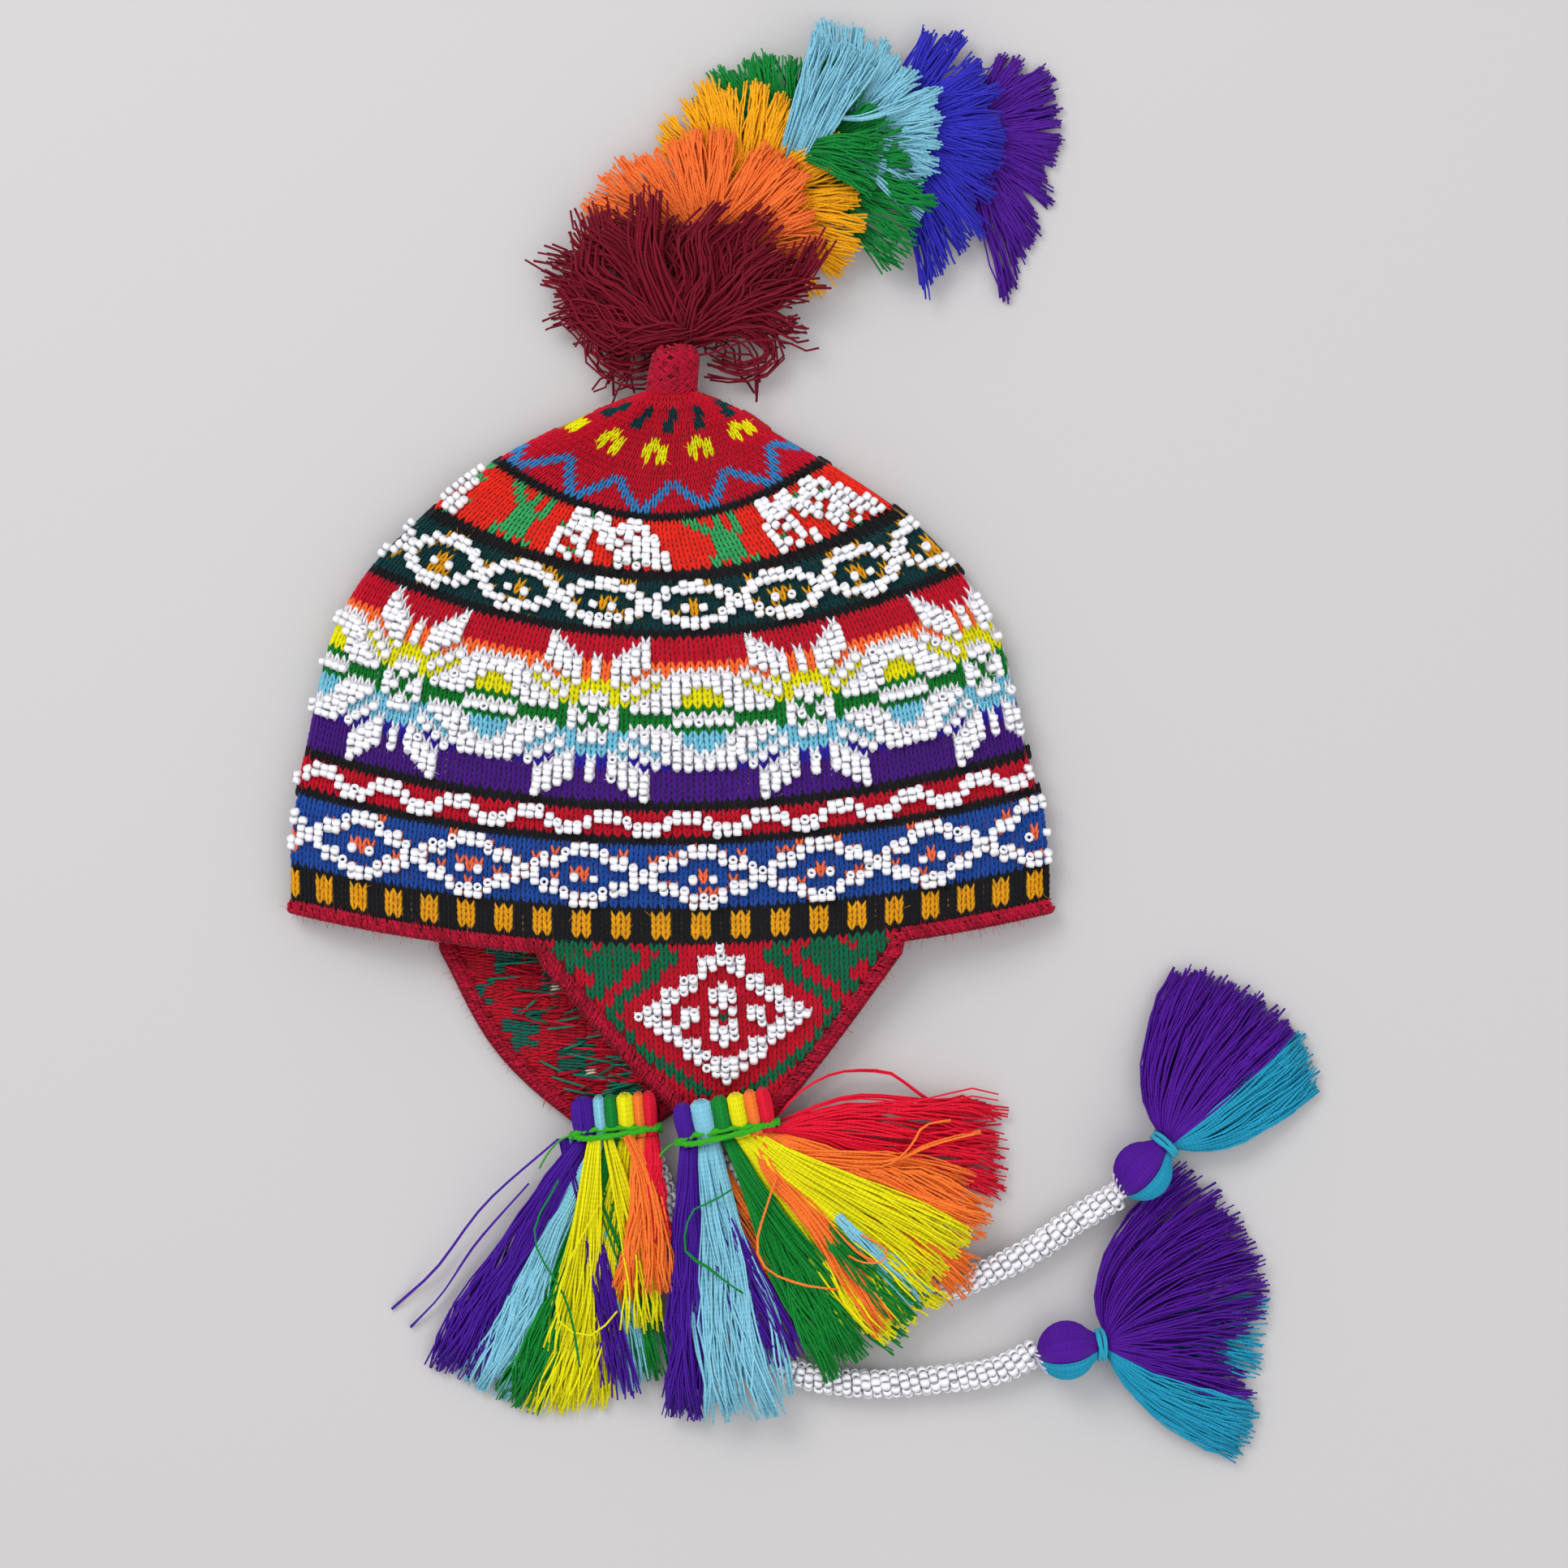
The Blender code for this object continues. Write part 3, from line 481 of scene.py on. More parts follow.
        # Whatever touches the surface lies pressed on it
        points[:, 2] = np.maximum(points[:, 2], SURFACE)
        groups = [np.concatenate(group) for group in self.faces.values() if group]
        corners = np.concatenate([g.ravel() for g in groups]).astype(np.int32)
        sizes = np.concatenate([np.full(len(g), g.shape[1]) for g in groups])
        starts = np.concatenate([[0], np.cumsum(sizes)[:-1]]).astype(np.int32)
        mesh.vertices.add(len(points))
        mesh.vertices.foreach_set("co", points.ravel())
        mesh.loops.add(len(corners))
        mesh.loops.foreach_set("vertex_index", corners)
        mesh.polygons.add(len(sizes))
        mesh.polygons.foreach_set("loop_start", starts)
        mesh.update(calc_edges=True)
        mesh.shade_smooth()
        for mark, values in self.marks.items():
            flat = np.concatenate(values).astype(np.float32)
            if flat.shape[1] == 4:
                layer = mesh.color_attributes.new(mark, "FLOAT_COLOR", "POINT")
                layer.data.foreach_set("color", flat.ravel())
            else:
                layer = mesh.attributes.new(mark, "FLOAT_VECTOR", "POINT")
                layer.data.foreach_set("vector", flat.ravel())
        piece = bpy.data.objects.new(name, mesh)
        bpy.context.scene.collection.objects.link(piece)
        return piece


def make_sheet(
    name: str,
    faces: tuple[int, int],
    lay: Callable[[np.ndarray], tuple[np.ndarray, np.ndarray]],
    wall: float,
    ring: bool = False,
) -> bpy.types.Object:
    """Make a thin wall of cloth from a grid.

    Args:
        name: the new object's name.
        faces: how many faces it has across and upwards.
        lay: turns the grid's points, from -1 to 1 both ways, into places and colours.
        wall: the cloth's thickness.
        ring: whether its two sides meet and are joined.

    Returns:
        The cloth, with its colour in the yarn attribute: the dye, darkened as painted shade.
    """
    deselect_all()
    bpy.ops.mesh.primitive_grid_add(x_subdivisions=faces[0], y_subdivisions=faces[1], size=2.0)
    cloth = bpy.context.view_layer.objects.active
    cloth.name = name
    # The colours from lay are dyes darkened as painted shade between the stitches
    placed, dye = lay(np.array([v.co for v in cloth.data.vertices]))
    cloth.data.vertices.foreach_set("co", placed.astype(np.float32).ravel())
    yarn = cloth.data.color_attributes.new("yarn", "FLOAT_COLOR", "POINT")
    yarn.data.foreach_set("color", dye.astype(np.float32).ravel())
    if ring:
        bpy.ops.object.mode_set(mode="EDIT")
        bpy.ops.mesh.select_all(action="SELECT")
        bpy.ops.mesh.remove_doubles(threshold=0.00002)
        bpy.ops.mesh.normals_make_consistent(inside=False)
        bpy.ops.object.mode_set(mode="OBJECT")
    thicken = cloth.modifiers.new("wall", "SOLIDIFY")
    thicken.thickness = wall
    thicken.offset = -1.0
    bpy.ops.object.modifier_apply(modifier="wall")
    bpy.ops.object.shade_smooth()
    return cloth


def enter(piece: bpy.types.Object, finish: Finish, node: str) -> None:
    """Dress a finished piece, put it into the frame and log it.

    Args:
        piece: the piece, in its place.
        finish: its material.
        node: the CAD node that it replaces.
    """
    finish.dress(piece)
    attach(piece, BODY)
    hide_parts(node)
    triangles = sum(len(p.vertices) - 2 for p in piece.data.polygons)
    LOG.info("%s: %d triangles", piece.name, triangles)


# Stitches and beads


def make_leg() -> Shape:
    """One leg of a knitted stitch, a plump leaf of yarn one unit long and one wide."""
    deselect_all()
    quarter = (math.pi / 2, 0.0, 0.0)
    bpy.ops.mesh.primitive_uv_sphere_add(segments=3, ring_count=3, radius=0.5, rotation=quarter)
    bpy.ops.object.transform_apply(rotation=True)
    return Shape.from_active()


def make_plain_leg() -> Shape:
    """A plainer leg for the side that the hat lies on: two low pyramids, foot to foot."""
    angles = TAU * (np.arange(3) + 0.25) / 3
    belt = np.stack([np.cos(angles) / 2, np.zeros(3), -np.sin(angles) / 2], axis=1)
    points = np.concatenate([belt, [[0.0, 0.5, 0.0], [0.0, -0.5, 0.0]]])
    return Shape(points, ((0, 1, 3), (1, 2, 3), (2, 0, 3), (1, 0, 4), (2, 1, 4), (0, 2, 4)))


def knit(
    yarn: Copies, leg: Shape, seats: np.ndarray, axes: np.ndarray, depth: float, dye: np.ndarray
) -> None:
    """Add stitches, each of two plump legs that lean together.

    Args:
        yarn: what the legs are added to.
        leg: the shape of a leg.
        seats: the middle of each stitch, of shape (n, 3).
        axes: its ways across by a stitch, up by a row, and out, of shape (n, 3, 3).
        depth: how thick the yarn is.
        dye: its colour, of shape (n, 4).
    """
    for side in (-1.0, 1.0):
        places = seats + axes[:, 0] * (0.235 * side) - axes[:, 2] * (depth * 0.35)
        line = axes[:, 1] * 1.9 + axes[:, 0] * (0.34 * side)
        yarn.add_shapes(leg, places, np.stack([axes[:, 0] * 0.68, line, axes[:, 2] * depth], axis=1), dye)


@dataclass(frozen=True)
class SeedBead:
    """A seed bead worked into the knitting, its hole along the wale."""

    diameter: float = 0.0031
    length: float = 0.0023
    lift: float = 0.0009

    @staticmethod
    def shape() -> Shape:
        """A short round barrel one unit across with a hole along Y, turned from its profile."""
        profile = ((0.41, 0.36), (0.50, 0.0), (0.41, -0.36), (0.17, 0.0))
        sides, rings = 8, len(profile)
        angles = TAU * np.arange(sides) / sides
        points = np.array([[r * math.cos(a), y, -r * math.sin(a)] for a in angles for r, y in profile])
        faces = []
        for i in range(sides):
            a, b = i * rings, (i + 1) % sides * rings
            for k in range(rings):
                n = (k + 1) % rings
                faces.append((a + k, a + n, b + n, b + k))
        return Shape(points, tuple(faces))

    def sew(
        self,
        beads: Copies,
        bead: Shape,
        seats: np.ndarray,
        axes: np.ndarray,
        tilt: np.ndarray,
        rng: np.random.Generator,
        hand: float = 1.0,
    ) -> None:
        """Sit a bead on each of these stitches.

        Args:
            beads: what the beads are added to.
            bead: the shape of a bead.
            seats: the middle of each stitch, of shape (n, 3).
            axes: its ways across, up and out, of shape (n, 3, 3).
            tilt: how far each bead's hole leans out, in degrees.
            rng: the random numbers.
            hand: 1 where the axes are right-handed, -1 where they are left-handed.
        """
        number = len(tilt)
        across, along, out = unit(axes[:, 0]), unit(axes[:, 1]), unit(axes[:, 2])
        turn = np.radians(tilt)[:, None]
        hole = along * np.cos(turn) + out * np.sin(turn)
        sway = np.radians(rng.normal(0.0, 9.0, number))[:, None]
        hole = unit(hole * np.cos(sway) + across * np.sin(sway))
        side = unit(np.cross(hole, out) * hand)
        over = np.cross(side, hole) * hand
        girth = self.diameter * rng.normal(1.0, 0.035, (number, 1))
        length = self.length / 0.72 * rng.normal(1.0, 0.05, (number, 1))
        sway = rng.normal(0.0, 0.00016, (number, 2))
        seats = seats + out * self.lift + across * sway[:, :1] + along * sway[:, 1:]
        beads.add_shapes(bead, seats, np.stack([side * girth, hole * length, over * girth], axis=1))


# Crown


@dataclass(frozen=True)
class Band:
    """One band of the crown's pattern.

    rows is its number of knitted rows and height its height in millimetres at the middle of the hat.
    stitches is the number across the near side and spread how much wider the middle ones look than
    the ones by the folds. grounds holds the ground colour of its rows from the bottom up. The chart's
    rows run from the top down: a dot is the ground, y the band's yarn, and B that yarn with a bead on
    it. Its column number middle lies at phase, from -1 at the left fold to 1 at the right one. A
    mirrored chart gives half a motif, from its middle column outwards.
    """

    rows: int
    height: float
    stitches: int
    spread: float
    grounds: tuple[tuple[Hue, int], ...]
    chart: tuple[str, ...] = ()
    yarn: Hue = Hue.WHITE
    phase: float = 0.0
    repeat: int = 1
    middle: float = 0.0
    mirrored: bool = False

    def grid(self) -> np.ndarray:
        """The chart as numbers, bottom row first: 0 is ground, 1 yarn and 2 yarn under a bead."""
        if not self.chart:
            return np.zeros((self.rows, 1), int)
        picked = [min(c, self.repeat - c) if self.mirrored else c for c in range(self.repeat)]
        found = np.array([[".yB".index(row[c]) for c in picked] for row in reversed(self.chart)])
        if self.yarn is Hue.WHITE:
            tail = (found[:-1] == 2) & (found[1:] == 0)
            found[1:][tail] = 1
        return found

    def ground_rows(self) -> list[Hue]:
        """The ground colour of each row, bottom row first."""
        return [hue for hue, count in self.grounds for _ in range(count)]

    def places(self) -> tuple[np.ndarray, np.ndarray]:
        """Where its stitches lie across the hat.

        Returns:
            Each stitch's place, from -1 to 1, and its column in the chart.
        """
        pitch = 2.0 / self.stitches
        first = math.ceil((-1.0 - self.phase) / pitch + self.middle)
        last = math.floor((1.0 - self.phase) / pitch + self.middle)
        numbers = np.arange(first, last + 1)
        return self.phase + (numbers - self.middle) * pitch, numbers % self.repeat

    def column_at(self, place: np.ndarray) -> np.ndarray:
        """The chart's column at places across the hat."""
        return np.round((place - self.phase) * self.stitches / 2 + self.middle).astype(int) % self.repeat


BORDER = ("....", "yy..", "yy..", "yy..", "yy..", "....")
BLUE_DIAMONDS = (
    "BB.....",
    "BBB....",
    "..BBB..",
    "...BBB.",
    "y....BB",
    "yB...BB",
    "...BBB.",
    "..BBB..",
    "BBB....",
    "BB.....",
)
ZIGZAG = ("BB.....B", "BBB...BB", "..BBBBB.", "...BBB..")
HALF_STAR = (
    ".....B.....",
    "....BB.....",
    "...BBB.....",
    "B.BBBB.....",
    "B.BBB......",
    "B.BB..B.BBB",
    "..B..B.BBBB",
    "....B..BBB.",
    "...B..BBB..",
    "BB...BBBB..",
    "B...BBBB...",
    "..B........",
)
STAR = ("...........", *HALF_STAR, ".BB.....BBB", *reversed(HALF_STAR))
TEAL_DIAMONDS = ("BB....", "BBBB..", "...BB.", "y...BB", "yB..BB", "...BB.", "BBBB..", "BB....")
TREE = (
    ".yy..y.y...BB.BB..BB....",
    "..yy.y.y...BBBBB.BBBB...",
    "...yyy.y...BBBBBBBB.B...",
    "....yyyy...BBB.BB.BBBB..",
    "....yyy...BB.B.BBB.BBB..",
    "....yyy...B.BB..B.BBBB..",
    "....yyy...B..B...BBBBBB.",
    "...yyyy...BB.BB..BB.BBB.",
    "...y.y.y..B.B.B..B.B.BB.",
)
TOP_ZIGZAG = (
    "..........",
    "..........",
    "yy.......y",
    ".yy.....yy",
    "..yy...yy.",
    "...yy.yy..",
    "....yyy...",
)
TOP_FLOWERS = (".........", ".yy......", "yyyyy....", "yy.yy....", ".y.yy....", ".........")
TOP_STROKES = ("..yy..", "..yy..", ".yy...", ".yy...")


@dataclass
class CrownForm:
    """The shape of the flattened crown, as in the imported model."""

    rim_width: float = 0.250
    height: float = 0.165
    depth: float = 0.026
    wall: float = 0.003
    fold_height: float = 0.0055
    rim_below_origin: float = 0.068
    # up, width, lean, droop and depth of each row, as shares
    rows: tuple[tuple[float, float, float, float, float], ...] = (
        (0.000, 0.994, -0.003, 0.085, 0.77),
        (0.076, 0.993, -0.003, 0.088, 0.86),
        (0.172, 0.983, -0.003, 0.097, 0.95),
        (0.296, 0.944, -0.004, 0.109, 1.00),
        (0.413, 0.912, -0.004, 0.119, 1.00),
        (0.526, 0.872, -0.004, 0.127, 1.00),
        (0.646, 0.780, -0.006, 0.133, 0.98),
        (0.756, 0.639, -0.006, 0.135, 0.94),
        (0.850, 0.472, -0.013, 0.124, 0.88),
        (0.928, 0.290, -0.011, 0.090, 0.80),
        (0.971, 0.185, -0.002, 0.045, 0.72),
        (1.000, 0.085, 0.000, 0.000, 0.66),
    )

    def row(self, up: np.ndarray) -> list[np.ndarray]:
        """Width, lean, droop and depth at heights up the crown, on a smooth curve through the rows."""
        table = np.array(self.rows)
        stops = table[:, 0]
        slopes = np.gradient(table[:, 1:], stops, axis=0)
        up = np.clip(up, 0.0, 1.0)
        i = np.clip(np.searchsorted(stops, up, side="right") - 1, 0, len(stops) - 2)
        span = stops[i + 1] - stops[i]
        t = ((up - stops[i]) / span)[..., None]
        start, end = table[i, 1:], table[i + 1, 1:]
        leave, arrive = slopes[i] * span[..., None], slopes[i + 1] * span[..., None]
        square, cube = t * t, t * t * t
        found = start * (2 * cube - 3 * square + 1) + leave * (cube - 2 * square + t)
        found = found + end * (3 * square - 2 * cube) + arrive * (cube - square)
        return [found[..., k] for k in range(4)]

    def point(self, up: np.ndarray, share: np.ndarray, near: bool, inset: float = 0.0) -> np.ndarray:
        """Places on the crown.

        Args:
            up: share of the crown's height, 0 at the rim.
            share: place across, from -1 at the left fold to 1 at the right one.
            near: True for the side that faces up.
            inset: how far inside the outer face.

        Returns:
            Points of shape (..., 3).
        """
        up, share = np.broadcast_arrays(np.asarray(up, float), np.asarray(share, float))
        width, lean, droop, depth = self.row(up)
        share = np.clip(share, -1.0, 1.0)
        rise = np.sqrt(1.0 - share * share)
        half = width * self.rim_width / 2 - inset
        x = half * share + lean * self.rim_width
        y = up * self.height - self.rim_below_origin - droop * self.height * (1.0 - share**2)
        if near:
            z = self.fold_height + (depth * self.depth - inset - self.fold_height) * rise
        else:
            z = self.fold_height + (inset - self.fold_height) * np.minimum(1.0, 1.25 * rise**0.7)
        return np.stack([x, y, z], axis=-1)

    def up_at(self, middle_y: np.ndarray) -> np.ndarray:
        """The share of the height at which the middle of a row lies at that y."""
        ups = np.linspace(0.0, 1.0, 400)
        middles = self.point(ups, 0.0, True)[:, 1]
        return np.interp(middle_y, middles, ups)


def spread_share(place: np.ndarray, spread: float) -> np.ndarray:
    """Where a stitch lies across the hat: the middle ones look wider than the ones by the folds."""
    return place + spread * np.sin(math.pi * place) / math.pi


RAINBOW = (
    (Hue.PURPLE, 5), (Hue.INDIGO, 2), (Hue.SKY, 4), (Hue.GREEN, 4),
    (Hue.YELLOW, 4), (Hue.ORANGE, 3), (Hue.CRIMSON, 4),
)


@dataclass
class Crown:
    """The knitted crown: its cloth, its stitches and the seed beads knitted into it."""

    form: CrownForm = field(default_factory=CrownForm)
    bead: SeedBead = SeedBead()
    stitch_depth: float = 0.0013
    near_inset: float = 0.0004
    far_inset: float = 0.0025
    cloth_inset: float = 0.0013
    cloth_faces: tuple[int, int] = (72, 48)
    dyed_share: float = 0.3
    far_beads: float = 0.22
    halo_count: int = 900
    seed: int = 11
    bands: tuple[Band, ...] = (
        Band(6, 11.9, 82, 0.07, ((Hue.BLACK, 6),), BORDER, Hue.MUSTARD, -0.016, 4, 0.5),
        Band(10, 20.1, 82, 0.07, ((Hue.ROYAL, 10),), BLUE_DIAMONDS, Hue.CORAL, 0.088, 12, 0, True),
        Band(2, 2.9, 82, 0.07, ((Hue.BLACK, 2),)),
        Band(4, 7.9, 82, 0.10, ((Hue.CRIMSON, 4),), ZIGZAG, Hue.CRIMSON, 0.05, 8),
        Band(2, 3.2, 80, 0.15, ((Hue.BLACK, 2),)),
        Band(26, 52.7, 78, 0.20, RAINBOW, STAR, Hue.WHITE, 0.359, 21, 0, True),
        Band(2, 2.7, 72, 0.16, ((Hue.BLACK, 2),)),
        Band(8, 15.4, 68, 0.14, ((Hue.TEAL, 8),), TEAL_DIAMONDS, Hue.MUSTARD, 0.092, 10, 0, True),
        Band(2, 3.7, 60, 0.15, ((Hue.BLACK, 2),)),
        Band(9, 15.9, 52, 0.15, ((Hue.SCARLET, 9),), TREE, Hue.MINT, 0.283, 24, 5),
        Band(2, 2.7, 52, 0.15, ((Hue.BLACK, 2),)),
        Band(7, 14.0, 50, 0.12, ((Hue.CRIMSON, 7),), TOP_ZIGZAG, Hue.ZIGZAG, -0.31, 10),
        Band(6, 12.0, 40, 0.10, ((Hue.CRIMSON, 6),), TOP_FLOWERS, Hue.YELLOW, -0.55, 9, 2),
        Band(4, 8.0, 28, 0.05, ((Hue.CRIMSON, 4),), TOP_STROKES, Hue.TEAL, -0.4, 6, 2),
        Band(3, 5.8, 14, 0.05, ((Hue.CRIMSON, 3),)),
    )

    def band_ups(self) -> list[np.ndarray]:
        """The height of each row's lower edge and of the last one's top in each band, as shares."""
        found = []
        low = self.form.point(0.0, 0.0, True)[1]
        for band in self.bands:
            high = low + band.height * 0.001
            found.append(self.form.up_at(np.linspace(low, high, band.rows + 1)))
            low = high
        return found

    def frames(
        self, up: float, place: np.ndarray, step: float, band: Band, near: bool
    ) -> tuple[np.ndarray, np.ndarray]:
        """Where a row's stitches lie and their axes: across by one stitch, up by one row, and out.

        Args:
            up: the middle of the row, as a share of the height.
            place: each stitch's place across, from -1 to 1.
            step: the height of the row, as a share.
            band: the band that it belongs to.
            near: True for the side that faces up.

        Returns:
            Origins of shape (n, 3) and axes of shape (n, 3, 3).
        """
        inset = self.near_inset if near else self.far_inset
        half = 1.0 / band.stitches
        right = spread_share(np.minimum(place + half, 1.0), band.spread)
        left = spread_share(np.maximum(place - half, -1.0), band.spread)
        share = spread_share(place, band.spread)
        across = self.form.point(up, right, near, inset) - self.form.point(up, left, near, inset)
        along = self.form.point(up + step / 2, share, near, inset)
        along = along - self.form.point(up - step / 2, share, near, inset)
        out = unit(np.cross(across, along)) * (1.0 if near else -1.0)
        return self.form.point(up, share, near, inset), np.stack([across, along, out], axis=1)

    def make_knit(self, near: bool) -> tuple[bpy.types.Object, bpy.types.Object]:
        """Knit one side, with a bead where the chart has one.

        Args:
            near: True for the side that faces up.

        Returns:
            The stitches and the beads, each as one piece.
        """
        rng = np.random.default_rng(self.seed + near)
        leg = make_leg() if near else make_plain_leg()
        bead = self.bead.shape()
        stitches, beads = Copies(), Copies()
        for band, ups in zip(self.bands, self.band_ups()):
            grid = band.grid()
            place, column = band.places()
            number = len(place)
            for j, ground in enumerate(band.ground_rows()):
                code = grid[j, column]
                seats, axes = self.frames((ups[j] + ups[j + 1]) / 2, place, ups[j + 1] - ups[j], band, near)
                wobble = rng.normal(0.0, 0.03, (number, 2))
                seats = seats + axes[:, 0] * wobble[:, :1] + axes[:, 1] * wobble[:, 1:]
                beaded = (code == 2) | ((code == 0) & (grid[max(j - 1, 0), column] == 2))
                dyed = (code == 1) | (beaded & (rng.random(number) < self.dyed_share))
                if band.yarn is Hue.WHITE:
                    dyed = code > 0
                dye = np.where(dyed[:, None], band.yarn.dye, ground.dye)
                dye = lit(dye, rng.normal(1.0, 0.05, (number, 1)))
                knit(stitches, leg, seats, axes, self.stitch_depth, dye)
                held = (code == 2) & (near | (rng.random(number) < self.far_beads))
                if held.any():
                    free = grid[min(j + 1, band.rows - 1), column] != 2
                    tilt = np.where(free, 26.0, 4.0) + rng.normal(0.0, 17.0, number)
                    hand = 1.0 if near else -1.0
                    self.bead.sew(beads, bead, seats[held], axes[held], tilt[held], rng, hand)
        side = "near" if near else "far"
        return stitches.build(f"crown_{side}_stitches"), beads.build(f"crown_{side}_beads")

    def hue_at(self, up: np.ndarray, share: np.ndarray) -> np.ndarray:
        """The colour of the knitting at places on the crown, as linear red, green, blue and alpha."""
        found = np.ones((len(up), 4))
        places = np.linspace(-1.0, 1.0, 200)
        for band, ups in zip(self.bands, self.band_ups()):
            inside = (up >= ups[0]) & (up <= ups[-1])
            row = np.clip(np.searchsorted(ups, up[inside], side="right") - 1, 0, band.rows - 1)
            place = np.interp(share[inside], spread_share(places, band.spread), places)
            code = band.grid()[row, band.column_at(place)]
            grounds = np.array([hue.dye for hue in band.ground_rows()])[row]
            found[inside] = np.where((code > 0)[:, None], band.yarn.dye, grounds)
        return found

    def lay_cloth(self, flat: np.ndarray) -> tuple[np.ndarray, np.ndarray]:
        """Places and colours of a grid wrapped round the crown and drawn together at its top: its yarn colours
        darkened as painted shade between the stitches.
        """
        angle, level = flat[:, 0] * math.pi, (flat[:, 1] + 1.0) / 2
        share, up = np.cos(angle), np.minimum(level / 0.965, 1.0)
        near = self.form.point(up, share, True, self.cloth_inset)
        far = self.form.point(up, share, False, self.far_inset + self.cloth_inset)
        placed = np.where((np.sin(angle) >= 0.0)[:, None], near, far)
        top = self.form.point(1.0, 0.0, True) * (1.0, 1.0, 0.55)
        placed = placed + (top - placed) * np.clip((level - 0.965) / 0.035, 0.0, 1.0)[:, None]
        # The cloth shows between the stitches, so its dye is darkened to three quarters as painted shade
        return placed, self.hue_at(up, share) * (0.75, 0.75, 0.75, 1.0)

    def make_halo(self) -> bpy.types.Object:
        """Short loose fibres that stand off the knitting."""
        rng = np.random.default_rng(self.seed + 5)
        count = self.halo_count
        up, share = rng.random(count) ** 1.1 * 0.99, rng.uniform(-0.99, 0.99, count)
        roots = self.form.point(up, share, True, -0.0002)
        turn = rng.uniform(0.0, TAU, count)
        reach = rng.uniform(0.0012, 0.0032, (count, 1))
        level = np.stack([np.cos(turn), np.sin(turn), np.zeros(count)], axis=1) * reach
        rise = UP * rng.uniform(0.0002, 0.0012, (count, 1))
        steps = np.linspace(0.0, 1.0, 3)[None, :, None]
        paths = roots[:, None] + level[:, None] * steps + np.sin(steps * math.pi) * rise[:, None]
        halo = Copies()
        halo.add_tubes(paths, 0.000055, dye=self.hue_at(up, share))
        return halo.build("crown_halo")

    def build(self) -> None:
        """Build the crown's pieces and put them into the frame."""
        wall = self.form.wall - self.cloth_inset
        enter(make_sheet("crown_cloth", self.cloth_faces, self.lay_cloth, wall, True), WOOL, "crown")
        for near in (True, False):
            stitches, beads = self.make_knit(near)
            enter(stitches, WOOL, "crown")
            enter(beads, BEAD_GLASS, "crown")
        enter(self.make_halo(), WOOL, "crown")


# Ear flaps


FLAP_CHART = (
    "B.....gg..ggg.gggg.",
    "B....gg..ggggg.gggg",
    "BBB..ggg.gggggggggg",
    ".BB...gg..ggggggggg",
    "..B....gg..gggg.ggg",
    "...BB..gg..ggg..gg.",
    "B..BB...gg..gg..g..",
    "BB..BBB..gg..gg....",
    "BB...BB...gg.ggg...",
    "B.....BB...g..ggg..",
    ".B.BB.BBB..gg..gg..",
    "g..BB..BBB..g...g..",
    ".B..B.BBB..gg......",
    "BB...BBB...g.......",
    "BB...BB...gg.......",
    "B..BBB....g........",
    "...BB....gg........",
    "..BBB...gg.........",
    "BB.B...gg..........",
    "BBB...gg...........",
    "BB...gg............",
    "B...gg.............",
    "...gg..............",
    "..gg...............",
)


